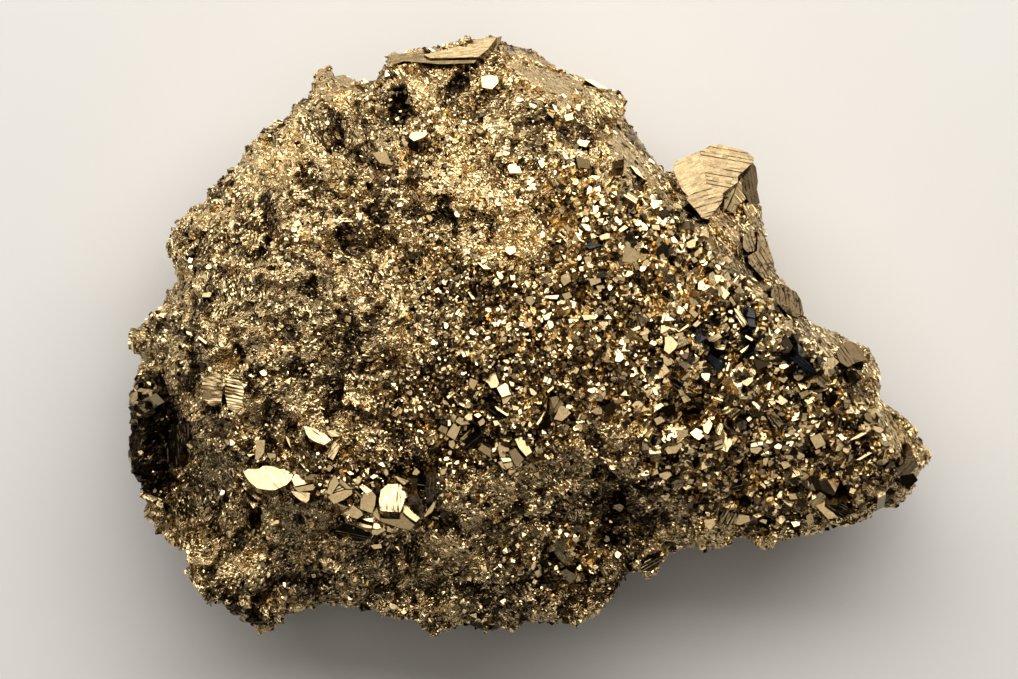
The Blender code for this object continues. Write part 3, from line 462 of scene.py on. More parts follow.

# Smoother places of the matrix, where few crystals stand: how bright each is painted, and its corners in
# pixels of the usual view. That brightness is painted light and shade: bright on lumps that face the light,
# dark at the left end, which turns away from it.
SMOOTH_PLACES = [
    (0.0, [(127, 428), (136, 424), (144, 440), (140, 461), (129, 460)]),
    (0.0, [(130, 463), (143, 461), (150, 470), (143, 488), (132, 480)]),
    (0.0, [(150, 400), (166, 396), (163, 436), (148, 452), (144, 430)]),
    (0.95, [(495, 55), (517, 57), (542, 62), (562, 80), (577, 95), (575, 112), (555, 102), (530, 87),
      (505, 70)]),
    (0.4, [(505, 38), (530, 45), (545, 55), (562, 72), (545, 62), (520, 52), (503, 48)]),
    (0.75, [(575, 92), (585, 87), (620, 90), (627, 97), (625, 112), (615, 126), (605, 125), (587, 112),
      (576, 102)]),
    (0.3, [(624, 117), (632, 127), (646, 145), (660, 165), (652, 172), (640, 155), (630, 140),
      (619, 128)]),
    (0.85, [(588, 122), (602, 128), (627, 150), (652, 180), (643, 184), (620, 162), (595, 140)]),
    (0.5, [(662, 181), (676, 186), (704, 220), (727, 240), (746, 268), (775, 295), (800, 323), (790, 332),
      (755, 299), (732, 276), (713, 251), (690, 217)]),
    (0.5, [(724, 186), (741, 172), (755, 167), (760, 212), (765, 214), (775, 262), (780, 282), (760, 270),
      (741, 237), (724, 214)]),
    (0.6, [(775, 333), (800, 333), (813, 353), (840, 378), (850, 395), (870, 412), (890, 435), (898, 460),
      (890, 460), (870, 437), (840, 413), (818, 383), (795, 355)]),
    (0.75, [(867, 412), (890, 405), (907, 417), (922, 432), (932, 450), (917, 460), (905, 462), (895, 455),
      (885, 440), (872, 425)]),
    (0.85, [(315, 70), (330, 67), (350, 72), (356, 92), (360, 115), (350, 122), (332, 112), (320, 95),
      (312, 85)]),
    (1.0, [(395, 70), (410, 72), (425, 87), (440, 105), (450, 122), (440, 125), (425, 112), (410, 92),
      (400, 80)]),
    (0.8, [(244, 150), (262, 141), (285, 143), (302, 160), (305, 180), (285, 188), (262, 182),
      (248, 170)]),
    (0.5, [(190, 290), (240, 275), (300, 290), (340, 310), (330, 330), (270, 335), (215, 325)]),
    (0.4, [(187, 422), (210, 422), (232, 445), (240, 480), (225, 500), (202, 520), (182, 537), (170, 530),
      (167, 500), (182, 480), (187, 452)]),
    (0.45, [(270, 500), (295, 495), (335, 500), (337, 530), (310, 540), (280, 530)]),
    (0.4, [(292, 448), (310, 440), (332, 448), (330, 468), (312, 478), (296, 468)]),
]
# How much of its unevenness a smooth place loses, the most it moves, and how many of the crystals stay.
SMOOTH_SHARE = 0.75
SMOOTH_REACH = 1.2
SMOOTH_CRYSTALS = 0.2

# How small crystals are stretched along, across and up.
BLOCK = (1, 1, 1)
LONG = (2.1, 1.0, 0.15)
LONGEST = (3.0, 0.9, 0.12)
FLAT = (1.0, 1.0, 0.4)

# Patterns of patches over the broken surface, for what differs from patch to patch: size and seed.
TONE_PATCHES = (5, 61)
FLOW_PATCHES = (6, 62)
CROWD_PATCHES = (7, 63)
SIZE_PATCHES = (7, 64)
LEAN_PATCHES = (2.6, 65)
FLECK_PATCHES = (1.7, 66)
RAGGED_PATCHES = (1.4, 67)

# Striations are broken across, this far from their end and then at this spacing. A face's points lie within
# the depth given here of its plane.
FIRST_BREAK = 0.6
BREAK_SPACING = 1.3
FACE_DEPTH = 0.02
# How far the matrix keeps under a crystal's face, and how far it is lowered for that at most.
FACE_COVER = 0.3
DEEPEST_SINK = 3
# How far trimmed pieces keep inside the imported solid's box, in metres.
BOX_MARGIN = 0.02 * MM

# The lights: place and size in metres, and colour.
KEY_LIGHT = ((0.05, 0.75, 0.75), (2.2, 0.9), (1.0, 0.97, 0.92))
FILL_LIGHT = ((-0.06, -0.05, 1.05), (0.9, 0.9), (1.0, 0.94, 0.84))
LIGHT_TARGET = Vector((0, 0, 0.03))
# The room: its colour, how bright it is near the horizon, and the heights between which it dims.
ROOM_COLOUR = (0.98, 0.99, 1.0, 1)
HORIZON_LIGHT = 0.6
HORIZON_FADE = (0.1, 0.34)


def ease(share):
    """0 at 0, 1 at 1, smooth in between and held outside."""
    share = np.clip(share, 0.0, 1.0)
    return share * share * (3 - 2 * share)


def patches(points, ellipses):
    """The sum of soft-edged ellipses at each point, in millimetres, each as strong as its weight."""
    total = np.zeros(len(points))
    for cx, cy, half_length, half_width, turn, weight in ellipses:
        lean = math.radians(turn)
        x, y = points[:, 0] - cx, points[:, 1] - cy
        along = (x * math.cos(lean) + y * math.sin(lean)) / half_length
        across = (y * math.cos(lean) - x * math.sin(lean)) / half_width
        total += weight * ease((1.25 - np.hypot(along, across)) / 0.5)
    return total


def coarse(points):
    """1 where the crust is coarse, 0 where it is fine."""
    return np.clip(patches(points, COARSE_CRUST), 0, 1)


def beyond_ridge(points):
    """1 on the flank beyond the ridge, 0 on the crystal side."""
    ridge = np.array(RIDGE, float)
    reach = np.interp(points[:, 0], ridge[:, 0], ridge[:, 1], left=200, right=-30)
    return ease((points[:, 1] - reach) / 3 + 0.5)


def cell_random(cells, salt):
    """One random number from 0 to 1 for each cell of a grid."""
    mixed = (cells.astype(np.int64) * (73856093, 19349663, 83492791)).sum(-1) + salt * 40503
    mixed = mixed.astype(np.uint64)
    for step in (0xFF51AFD7ED558CCD, 0xC4CEB9FE1A85EC53):
        mixed = (mixed ^ (mixed >> np.uint64(33))) * np.uint64(step)
    return (mixed >> np.uint64(11)) / 2.0**53


def nearest_cells(points, size, seed):
    """Which cell of a scattered pattern each point is in, and how far it is from that cell's centre."""
    home = np.floor(points / size)
    nearest = np.full(len(points), np.inf)
    cells, away = home.copy(), np.zeros_like(home)
    for step in np.ndindex(3, 3, 3):
        others = home + np.array(step) - 1
        centre = others + np.stack([cell_random(others, seed + salt) for salt in (1, 2, 3)], 1)
        gap = points - centre * size
        distance = (gap**2).sum(1)
        closer = distance < nearest
        nearest[closer], cells[closer], away[closer] = distance[closer], others[closer], gap[closer]
    return cells, away


def broken_faces(points, size, steepest, seed):
    """The rise of a surface broken into flat faces, each tilted its own way."""
    cells, away = nearest_cells(points, size, seed)
    tilt = np.stack([cell_random(cells, seed + salt) for salt in (4, 5, 6)], 1) * 2 - 1
    return (tilt * steepest * away).sum(1)


def patch_value(points, size, seed):
    """A random number from 0 to 1 that is the same all over each patch of a broken surface."""
    return cell_random(nearest_cells(points, size, seed)[0], seed + 7)


def inside_outline(points, corners):
    """Whether each point lies within an outline, given by pixels of the usual view."""
    outline = [
        (VIEW_MIDDLE.x + (x - VIEW_SIZE[0] / 2) * PIXEL, VIEW_MIDDLE.y + (VIEW_SIZE[1] / 2 - y) * PIXEL)
        for x, y in corners
    ]
    inside = np.zeros(len(points), bool)
    for (x, y), (next_x, next_y) in zip(outline, outline[1:] + outline[:1]):
        between = (y > points[:, 1]) != (next_y > points[:, 1])
        if y != next_y:
            reach = x + (points[:, 1] - y) * (next_x - x) / (next_y - y)
            inside ^= between & (points[:, 0] < reach)
    return inside


def smooth_places(points):
    """Which points are in each smooth place, with how bright the place is. Their edges are ragged."""
    ragged = points + (patch_value(points, *RAGGED_PATCHES)[:, None] - 0.5) * (2.0, -2.0, 0)
    return [(inside_outline(ragged, corners), light) for light, corners in SMOOTH_PLACES]


def is_rough(points):
    """1 where crystals stand close, less in the smooth places."""
    rough = np.ones(len(points))
    for inside, _ in smooth_places(points):
        rough[inside] = SMOOTH_CRYSTALS
    return rough


class Socket:
    """A shader value that can be used in a Python expression."""

    def __init__(self, graph, link):
        self.graph = graph
        self.link = link

    def math(self, operation, first, second):
        return self.graph.add("ShaderNodeMath", {"operation": operation}, {0: first, 1: second})

    def __add__(self, other):
        return self.math("ADD", self, other)

    __radd__ = __add__

    def __mul__(self, other):
        return self.math("MULTIPLY", self, other)

    __rmul__ = __mul__

    def __sub__(self, other):
        return self.math("SUBTRACT", self, other)

    def __rsub__(self, other):
        return self.math("SUBTRACT", other, self)

    def __pow__(self, other):
        return self.math("POWER", self, other)

    def between(self, low, high):
        """0 at low, 1 at high, smooth in between and held outside."""
        settings = {"interpolation_type": "SMOOTHSTEP"}
        return self.graph.add("ShaderNodeMapRange", settings, {0: self, 1: low, 2: high})


class Graph:
    """The nodes of one material or room, with the shader that they feed."""

    def __init__(self, holder, shader):
        holder.use_nodes = True
        self.holder = holder
        self.tree = holder.node_tree
        self.shader = self.tree.nodes[shader]

    def add(self, kind, settings, values, output=0):
        """One output of a node of any kind, given its settings and its sockets' values or links."""
        node = self.tree.nodes.new(kind)
        for name, value in settings.items():
            setattr(node, name, value)
        for name, value in values.items():
            if isinstance(value, Socket):
                self.tree.links.new(value.link, node.inputs[name])
            else:
                node.inputs[name].default_value = value
        return Socket(self, node.outputs[output])

    def vector(self, operation, first, second):
        return self.add("ShaderNodeVectorMath", {"operation": operation}, {0: first, 1: second})

    def mix(self, share, first, second):
        return self.add("ShaderNodeMix", {"data_type": "RGBA"}, {0: share, 6: first, 7: second}, 2)

    def attribute(self, name, output="Fac"):
        return self.add("ShaderNodeAttribute", {"attribute_name": name}, {}, output)

    def noise(self, scale, detail=3.0):
        return self.add("ShaderNodeTexNoise", {}, {"Vector": self.place, "Scale": scale, "Detail": detail})

    def cells(self, scale, output):
        return self.add("ShaderNodeTexVoronoi", {}, {"Vector": self.place, "Scale": scale}, output)

    def glints(self, layers, leaning=False):
        """The surface normal, turned a random way in each small cell: scale of the cells and how far.

        Where the lean attribute says so, the cells all lean the same way as well.
        """
        normal = self.add("ShaderNodeNewGeometry", {}, {}, "Normal")
        if leaning:
            lean = self.add("ShaderNodeCombineXYZ", {}, {"Y": self.attribute("lean")})
            normal = self.vector("ADD", normal, lean)
        for scale, far in layers:
            turned = self.vector("SUBTRACT", self.cells(scale, "Color"), (0.5, 0.5, 0.5))
            normal = self.vector("ADD", normal, self.vector("MULTIPLY", turned, (far, far, far)))
        return self.add("ShaderNodeVectorMath", {"operation": "NORMALIZE"}, {0: normal})

    def feed(self, **sockets):
        """Connects or sets the shader's sockets, named with _ for a space."""
        for name, value in sockets.items():
            socket = self.shader.inputs[name.replace("_", " ")]
            if isinstance(value, Socket):
                self.tree.links.new(value.link, socket)
            else:
                socket.default_value = value
        return self.holder


class Finish(Graph):
    """The nodes of one material, with the place on the specimen in millimetres that its patterns follow."""

    def __init__(self, name):
        super().__init__(bpy.data.materials.new(name), "Principled BSDF")
        metres = self.add("ShaderNodeTexCoord", {}, {}, "Object")
        self.place = self.vector("MULTIPLY", metres, (1 / MM,) * 3)


def opaque(colour):
    return (*colour, 1.0)


def matrix_finish(colours):
    """Massive pyrite: a mass of tiny faces, rusty in places, and painted brown and dark in its hollows,
    pits and between the crystals as painted shade, with painted light and shade by place as well.
    """
    graph = Finish("massive pyrite")
    graph.place = graph.attribute("drawn_out", "Vector")
    grain = graph.add("ShaderNodeSeparateColor", {}, {"Color": graph.cells(4.2, "Color")})
    light = (graph.attribute("tone") * (grain * 1.7 + graph.noise(0.22) * 0.5 + 0.1)).between(0.2, 1.15)
    colour = graph.mix(light, opaque(colours.tarnish_and_shade), opaque(colours.pyrite))
    colour = graph.mix(graph.attribute("rust") * 0.8, colour, opaque(colours.rust))
    rough = graph.noise(0.9) * 0.2 + 0.14
    facets = graph.glints([(4.2, 1.05), (1.4, 0.6)], leaning=True)
    return graph.feed(Base_Color=colour, Roughness=rough, Metallic=0.97, Normal=facets)


def crystal_finish(name, colours, bright, dull, smoothness, broken):
    """Crystal faces: each crystal has a tone of its own, partly painted highlight and shade, with stains,
    etching and uneven growth over it.

    Smoothness is the roughness of the smoothest spots, and broken is how far the face's small parts tilt.
    """
    graph = Finish(name)
    flecks = graph.noise(3.5, 5.0).between(0.56, 0.66)
    light = graph.attribute("tone") * (0.7 + graph.noise(0.9) * 0.6) * (1 - flecks * 0.45)
    colour = graph.mix(light, opaque(dull), opaque(bright))
    colour = graph.mix(graph.attribute("rust") * 0.4, colour, opaque(colours.rust))
    uneven = graph.glints([(2.4, broken), (0.9, broken * 0.6)])
    etching = {"Strength": 0.2, "Distance": 0.06 * MM, "Height": graph.noise(4.0), "Normal": uneven}
    bump = graph.add("ShaderNodeBump", {}, etching)
    rough = graph.noise(1.6) * 0.16 + smoothness
    return graph.feed(Base_Color=colour, Roughness=rough, Metallic=1.0, Normal=bump)


def floor_finish(colour):
    return Finish("pale floor").feed(Base_Color=opaque(colour), Roughness=0.9)


def clear_selection():
    bpy.ops.object.select_all(action="DESELECT")


def only(piece):
    """Selects one piece alone and makes it the active one."""
    clear_selection()
    piece.select_set(True)
    bpy.context.view_layer.objects.active = piece


def points_of(piece, name="co", domain="vertices"):
    """The places or normals of a piece's points or faces, as rows of three numbers."""
    items = getattr(piece.data, domain)
    found = np.empty(len(items) * 3)
    items.foreach_get(name, found)
    return found.reshape(-1, 3)


def move_points(piece, points):
    """Puts a piece's points at new places, in millimetres."""
    piece.data.vertices.foreach_set("co", (points * MM).ravel())
    piece.data.update()


def set_attribute(piece, name, values, domain):
    """Gives each point or face a number or a vector that the finish reads."""
    values = np.asarray(values, np.float32)
    kind, field = ("FLOAT", "value") if values.ndim == 1 else ("FLOAT_VECTOR", "vector")
    piece.data.attributes.new(name, kind, domain).data.foreach_set(field, values.ravel())


def tree_of(piece):
    """The piece's surface, in millimetres, for finding what a line meets."""
    faces = [face.vertices[:] for face in piece.data.polygons]
    return BVHTree.FromPolygons((points_of(piece) / MM).tolist(), faces)


def add_mesh(name, points, faces, material):
    """A new piece from points in millimetres and faces."""
    data = bpy.data.meshes.new(name)
    data.from_pydata((np.asarray(points) * MM).tolist(), [], faces)
    data.materials.append(material)
    piece = bpy.data.objects.new(name, data)
    bpy.context.collection.objects.link(piece)
    return piece


def join(pieces, name):
    """Makes several pieces into one."""
    clear_selection()
    for piece in pieces:
        piece.select_set(True)
    bpy.context.view_layer.objects.active = pieces[0]
    bpy.ops.object.join()
    pieces[0].name = name
    pieces[0].data.name = name
    return pieces[0]


def hand_over(piece, slot):
    """Says which body a finished piece moves with. The slot, which material it is made of, is not used."""
    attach(piece, "root")


def copy_of_solid(name):
    """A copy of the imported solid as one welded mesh, free of the marks that tie the solid to its body."""
    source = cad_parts[NODE]
    piece = source.copy()
    piece.data = source.data.copy()
    piece.name = name
    for key in list(piece.keys()):
        del piece[key]
    piece.parent = None
    bpy.context.collection.objects.link(piece)
    only(piece)
    bpy.ops.object.mode_set(mode="EDIT")
    bpy.ops.mesh.select_all(action="SELECT")
    bpy.ops.mesh.remove_doubles(threshold=0.001 * MM)
    bpy.ops.object.mode_set(mode="OBJECT")
    return piece


def drawn_out(points, angles, stretch):
    """The points squeezed along a grain, so that a pattern on them comes out drawn along it."""
    lean = np.radians(angles)
    grain = np.stack([np.cos(lean), np.sin(lean), 0 * lean], -1)
    along = (points * grain).sum(1) * (1 / stretch - 1)
    return points + grain * along[:, None]


def fitted_plane(points):
    """The slope along X and Y of the plane that fits these points best, and its height at the origin."""
    level = np.column_stack([points[:, :2], np.ones(len(points))])
    found = np.linalg.lstsq(level, points[:, 2], rcond=None)[0]
    return found[:2], found[2]


def build_matrix(material, detail):
    """The massive pyrite under the crystals: the solid with fine broken relief all over it."""
    piece = copy_of_solid("matrix")
    remesh = piece.modifiers.new("even faces", "REMESH")
    remesh.mode = "VOXEL"
    remesh.voxel_size = detail
    bpy.ops.object.modifier_apply(modifier=remesh.name)
    points = points_of(piece) / MM
    normals = points_of(piece, "normal")
    flank = beyond_ridge(points)
    relief = np.zeros(len(points))
    for size, steepest, seed in RELIEF:
        open_side = broken_faces(points, size, steepest, seed)
        on_the_flank = drawn_out(points, FLANK_GRAIN, FLANK_STRETCH)
        far_side = broken_faces(on_the_flank, size, steepest * FLANK_TILT, seed)
        relief += open_side * (1 - flank) + far_side * flank
    facing_up = normals[:, 2] > 0.2
    pits = patches(points, PITS)
    rise = relief - RELIEF_DROP - pits * facing_up
    points += normals * (rise * ease(points[:, 2] / RELIEF_FADE))[:, None]
    smooth = [(inside & facing_up, light) for inside, light in smooth_places(points)]
    for inside, _ in smooth:
        height = points[inside, 2]
        across, rest = fitted_plane(points[inside])
        level = points[inside, :2] @ across + rest
        points[inside, 2] += np.clip(level - height, -SMOOTH_REACH, SMOOTH_REACH) * SMOOTH_SHARE
    points = np.clip(points, *(np.array(corner) / MM for corner in CAD_BOX))
    piece.data.vertices.foreach_set("co", (points * MM).ravel())
    druse = coarse(points) * (normals[:, 2] > 0)
    shade = np.clip(patches(points, SHADES), -1.5, 1)
    # The tone is partly painted light and shade: it is lighter where the relief stands higher, on the flank
    # and in brighter places, darker where it lies lower and in darker places; random patches vary it as
    # well.
    tone = 0.4 + patch_value(points, *TONE_PATCHES) * 0.3 + relief * 0.35 + shade * 0.4 + flank * 0.25
    # Painted shade: the matrix between the crystals of the coarse crust is darker.
    tone *= 1 - 0.7 * druse
    # Each smooth place takes most of its painted brightness.
    for inside, light in smooth:
        tone[inside] = tone[inside] * 0.25 + light * 0.75
    # Painted shade in the pits.
    set_attribute(piece, "tone", np.clip(tone - patches(points, PITS) * 0.4, 0, 1), "POINT")
    set_attribute(piece, "rust", np.clip(patches(points, RUST_STAINS), 0, 1), "POINT")
    stretch = GRAIN_STRETCH + (FLANK_STRETCH - GRAIN_STRETCH) * flank
    set_attribute(piece, "drawn_out", drawn_out(points, flow(points), stretch), "POINT")
    set_attribute(piece, "lean", shade * SHADE_LEAN, "POINT")
    piece.data.materials.clear()
    piece.data.materials.append(material)
    piece.data.shade_flat()
    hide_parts(NODE)
    hand_over(piece, "pyrite")
    return piece


def sight_line(corner):
    """The direction from the camera through a pixel of the usual view."""
    across = (corner[0] - VIEW_SIZE[0] / 2) * PIXEL
    up = (VIEW_SIZE[1] / 2 - corner[1]) * PIXEL
    return (VIEW_MIDDLE + Vector((across, up, 0)) - CAMERA_PLACE).normalized()


def face_normal(tone, draw):
    """Which way a crystal face of this brightness lies."""
    lean, sway, _ = TONES[tone]
    up = math.tan(math.radians(lean + draw.uniform(-sway, sway)))
    side = math.tan(math.radians(draw.uniform(-sway, sway)))
    return Vector((side, up, 1)).normalized()


def ground_normal(hits):
    """The normal of the plane that fits these points best."""
    slope, _ = fitted_plane(np.array(hits))
    return Vector((-slope[0], -slope[1], 1)).normalized()


def grow_crystal(tree, tone, corners, growth, material, draw):
    """One crystal under a face seen through these pixels: a prism from the face down into the matrix.

    Growth holds how deep it goes, how far it stands out, how far it follows the slope of its ground, and
    which of the ground's heights it takes, from 0 to 1.
    """
    reach, lift, follow, height = growth
    lines = [sight_line(corner) for corner in corners]
    middle = sum(lines, Vector()).normalized()
    halfway = [(line + middle).normalized() for line in lines]
    hits = [tree.ray_cast(CAMERA_PLACE, line)[0] for line in lines + halfway + [middle]]
    hits = [hit for hit in hits if hit]
    if not hits:
        raise RuntimeError(f"no surface under {corners[0]}")
    normal = face_normal(tone, draw)
    if follow:
        normal = normal.lerp(ground_normal(hits), follow).normalized()
    levels = sorted(hit.dot(normal) for hit in hits)
    level = levels[int((len(levels) - 1) * height)] + lift
    reach = max(reach, level - levels[0] + 1)
    eye = CAMERA_PLACE.dot(normal)
    top = [CAMERA_PLACE + line * ((level - eye) / line.dot(normal)) for line in lines]
    crystal = add_mesh("crystal", top, [tuple(range(len(top)))], material)
    only(crystal)
    bpy.ops.object.mode_set(mode="EDIT")
    bpy.ops.mesh.select_all(action="SELECT")
    bpy.ops.mesh.extrude_region_move(TRANSFORM_OT_translate={"value": normal * -reach * MM})
    bpy.ops.mesh.select_all(action="SELECT")
    bpy.ops.mesh.normals_make_consistent(inside=False)
    bpy.ops.object.mode_set(mode="OBJECT")
    return crystal, normal, level


def cut_across(crystal, across, marks):
    """Cuts a crystal by parallel planes, at marks in millimetres along a direction."""
    places = points_of(crystal) @ np.array(across) / MM
    only(crystal)
    bpy.ops.object.mode_set(mode="EDIT")
    for mark in marks:
        if places.min() < mark < places.max():
            bpy.ops.mesh.select_all(action="SELECT")
            bpy.ops.mesh.bisect(plane_co=across * mark * MM, plane_no=across)
    bpy.ops.object.mode_set(mode="OBJECT")


def striate(crystal, normal, level, angle, pitch, depth, share, draw):
    """Cuts grooves across a crystal's face, which fade and deepen along their run.

    A share of 1 makes them meet in ridges, less leaves flats between them.
    """
    lean = math.radians(angle)
    run = Vector((math.cos(lean), math.sin(lean), 0))
    across = normal.cross(run).normalized()
    along = across.cross(normal).normalized()
    places = points_of(crystal) @ np.array(across) / MM
    marks, drops = [places.min() - pitch], [0]
    while marks[-1] < places.max():
        start = marks[-1]
        step = pitch * draw.uniform(0.55, 1.45)
        deep = depth * draw.uniform(0.4, 1.6)
        groove = step * share
        if share < 1:
            marks.append(start + step - groove)
            drops.append(0)
        marks += [start + step - groove / 2, start + step]
        drops += [deep, 0]
    cut_across(crystal, across, marks)
    ends = points_of(crystal) @ np.array(along) / MM
    breaks = np.arange(ends.min() + FIRST_BREAK, ends.max(), BREAK_SPACING)
    if len(breaks) > 2:
        cut_across(crystal, along, breaks)
    points = points_of(crystal) / MM
    drop = np.interp(points @ np.array(across), marks, drops)
    if len(breaks) > 2:
        spot = np.stack([points @ np.array(across) / pitch, points @ np.array(along) / BREAK_SPACING], 1)
        drop *= cell_random(np.floor(np.c_[spot, spot[:, :1] * 0]), int(angle) + 7) * 1.6
    on_top = points @ np.array(normal) > level - FACE_DEPTH
    points -= np.outer(drop * on_top, np.array(normal))
    move_points(crystal, points)


def build_faces(name, faces, tree, growth, material, seed):
    """A group of crystals whose faces can be told apart, as one piece."""
    draw = random.Random(seed)
    crystals = []
    for tone, corners, *lines in faces:
        crystal, normal, level = grow_crystal(tree, tone, corners, growth, material, draw)
        if lines:
            kind, angle = lines
            striate(crystal, normal, level, angle, *STRIAE[kind], draw)
        # Painted light and shade: the face takes the painted brightness of its class, and the crystal's
        # sides are painted darker, as painted shade.
        facing = points_of(crystal, "normal", "polygons") @ np.array(normal)
        bright = TONES[tone][2] * draw.uniform(0.85, 1.1)
        strips = np.array([draw.uniform(0.5, 1.0) if lines else 1.0 for _ in facing])
        set_attribute(crystal, "tone", np.where(facing > 0.7, bright * strips, bright * 0.7), "FACE")
        crystals.append(crystal)
    piece = join(crystals, name)
    keep_in_box(piece)
    return piece


def keep_in_box(piece):
    """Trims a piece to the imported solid's own box."""
    low, high = np.array(CAD_BOX)
    points = np.clip(points_of(piece), low + BOX_MARGIN, high - BOX_MARGIN)
    piece.data.vertices.foreach_set("co", points.ravel())
    piece.data.update()


def model_shapes():
    """The small crystals' shapes, each modelled once, about a millimetre wide, as points and faces.

    A plain cube, one with its corners cut, one with striations, and a sliver.
    """
    draw = random.Random(3)
    models = {}
    for name in ("cube", "cut", "lined"):
        clear_selection()
        bpy.ops.mesh.primitive_cube_add(size=MM)
        models[name] = bpy.context.object
    only(models["cut"])
    bpy.ops.object.mode_set(mode="EDIT")
    for corner, reach in (((1, 1, 1), 0.66), ((-1, 1, 1), 0.66), ((1, -1, 0.6), 0.4)):
        facing = Vector(corner).normalized()
        bpy.ops.mesh.select_all(action="SELECT")
        bpy.ops.mesh.bisect(plane_co=facing * reach * MM, plane_no=facing, use_fill=True, clear_outer=True)
    bpy.ops.object.mode_set(mode="OBJECT")
    striate(models["lined"], Vector((0, 0, 1)), 0.5, 0, 0.24, 0.05, 0.4, draw)
    clear_selection()
    bpy.ops.mesh.primitive_cone_add(
        vertices=3, radius1=0.6 * MM, depth=0.8 * MM, location=(0, 0, 0.15 * MM)
    )
    models["sliver"] = bpy.context.object
    bpy.ops.object.transform_apply(location=True, rotation=False, scale=False)
    shapes = {}
    for name, model in models.items():
        shapes[name] = (points_of(model) / MM, [face.vertices[:] for face in model.data.polygons])
        bpy.data.objects.remove(model)
    return shapes


def sink_under(matrix, crystals):
    """Lowers the matrix where it would show through the face of a crystal."""
    points = points_of(matrix) / MM
    upwards = points_of(matrix, "normal")[:, 2] > 0
    for number in np.flatnonzero(upwards):
        spot = Vector(points[number])
        line = (spot - CAMERA_PLACE).normalized()
        for tree in crystals:
            hit = tree.ray_cast(CAMERA_PLACE, line)[0]
            if hit and -FACE_COVER < (hit - spot).dot(line) < DEEPEST_SINK:
                points[number] = hit + line * FACE_COVER
    move_points(matrix, points)


def inside_box(points):
    """Whether points, in millimetres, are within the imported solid's own box."""
    low, high = (np.array(corner) / MM for corner in CAD_BOX)
    return ((points > low) & (points < high)).all(-1)


class Ground:
    """The matrix's faces, to strew small crystals over, and the larger crystals that they keep clear of."""

    def __init__(self, matrix, crystals):
        matrix.data.calc_loop_triangles()
        corners = np.empty(len(matrix.data.loop_triangles) * 3, np.int32)
        matrix.data.loop_triangles.foreach_get("vertices", corners)
        self.triangle = points_of(matrix)[corners.reshape(-1, 3)] / MM
        normal = np.cross(
            self.triangle[:, 1] - self.triangle[:, 0], self.triangle[:, 2] - self.triangle[:, 0]
        )
        self.area = np.linalg.norm(normal, axis=1)
        self.normal = normal / np.maximum(self.area, 1e-12)[:, None]
        self.crystals = crystals

    def spots(self, count, weigh, draw):
        """Places spread over the faces by area and weight, with the normal at each."""
        weight = self.area * weigh(self.triangle.mean(1), self.normal)
        chosen = draw.choice(len(weight), count, p=weight / weight.sum())
        share = draw.dirichlet((1, 1, 1), count)
        return (self.triangle[chosen] * share[:, :, None]).sum(1), self.normal[chosen]

    def clear_of_crystals(self, place, size):
        """Whether each spot is neither under a larger crystal nor poking through one."""
        free = np.ones(len(place), bool)
        for number, (spot, reach) in enumerate(zip(place.tolist(), size.tolist())):
            spot = Vector(spot)
            for tree in self.crystals:
                if tree.find_nearest(spot, reach * 0.5)[0]:
                    free[number] = False
                    break
                hit = tree.ray_cast(CAMERA_PLACE, (spot - CAMERA_PLACE).normalized())[0]
                if hit and (hit - CAMERA_PLACE).length < (spot - CAMERA_PLACE).length:
                    free[number] = False
                    break
        return free


def crystal_axes(crust, place, normal, size, draw):
    """The three axes of each small crystal, as long as it is each way: along, across and up."""
    count = len(place)
    up = normal + draw.normal(0, math.tan(math.radians(crust.tilt)), (count, 3))
    up[:, 1] += SHADE_LEAN * np.clip(patches(place, SHADES), -1.5, 1)
    up[:, 1] += (patch_value(place, *LEAN_PATCHES) - 0.5) * PATCH_LEAN
    up /= np.linalg.norm(up, axis=1)[:, None]
    lean = np.radians(flow(place) + draw.normal(0, 16, count))
    run = np.stack([np.cos(lean), np.sin(lean), np.zeros(count)], 1)
    if crust.stretch[0] == 1:
        run = draw.normal(size=(count, 3))
    side = np.cross(np.cross(up, run), up)
    side /= np.linalg.norm(side, axis=1)[:, None]
    varied = np.array(crust.stretch) * draw.uniform(0.75, 1.3, (count, 3))
    turn = np.stack([side, np.cross(up, side), up], 1)
    return turn * (size[:, None] * varied)[:, :, None]


def strew(crust, shape, ground, material, seed):
    """Small crystals of one shape grown over the ground, as one mesh."""
    draw = np.random.default_rng(seed)
    place, normal = ground.spots(crust.count, crust.weigh, draw)
    size = crust.sizes(place, draw) * (0.75 + 0.5 * patch_value(place, *SIZE_PATCHES))
    free = ground.clear_of_crystals(place, size)
    place, normal, size = place[free], normal[free], size[free]
    axes = crystal_axes(crust, place, normal, size, draw)
    model, model_faces = shape
    points = place[:, None] + np.einsum("vk,nkj->nvj", model, axes)
    inside = inside_box(points).all(1)
    points, place, normal = points[inside], place[inside], normal[inside]
    count = len(place)
    faces = []
    shades = []
    bright = crust.tones(place, draw)
    for face in model_faces:
        faces += (np.array(face) + np.arange(count)[:, None] * len(model)).tolist()
        first, second, third = (points[:, corner] for corner in face[:3])
        facing = np.cross(second - first, third - first)
        facing /= np.linalg.norm(facing, axis=1)[:, None]
        # Painted shade: faces that turn away from the ground's normal are darker.
        openness = ease((facing * normal).sum(1) / 0.7)
        shades.append(bright * (PAINTED_SIDE_SHADE + (1 - PAINTED_SIDE_SHADE) * openness))
    piece = add_mesh(crust.name, points.reshape(-1, 3), faces, material)
    rust = np.clip(patches(place, RUST_STAINS), 0, 1)
    set_attribute(piece, "tone", np.concatenate(shades), "FACE")
    set_attribute(piece, "rust", np.tile(rust, len(model_faces)), "FACE")
    return piece


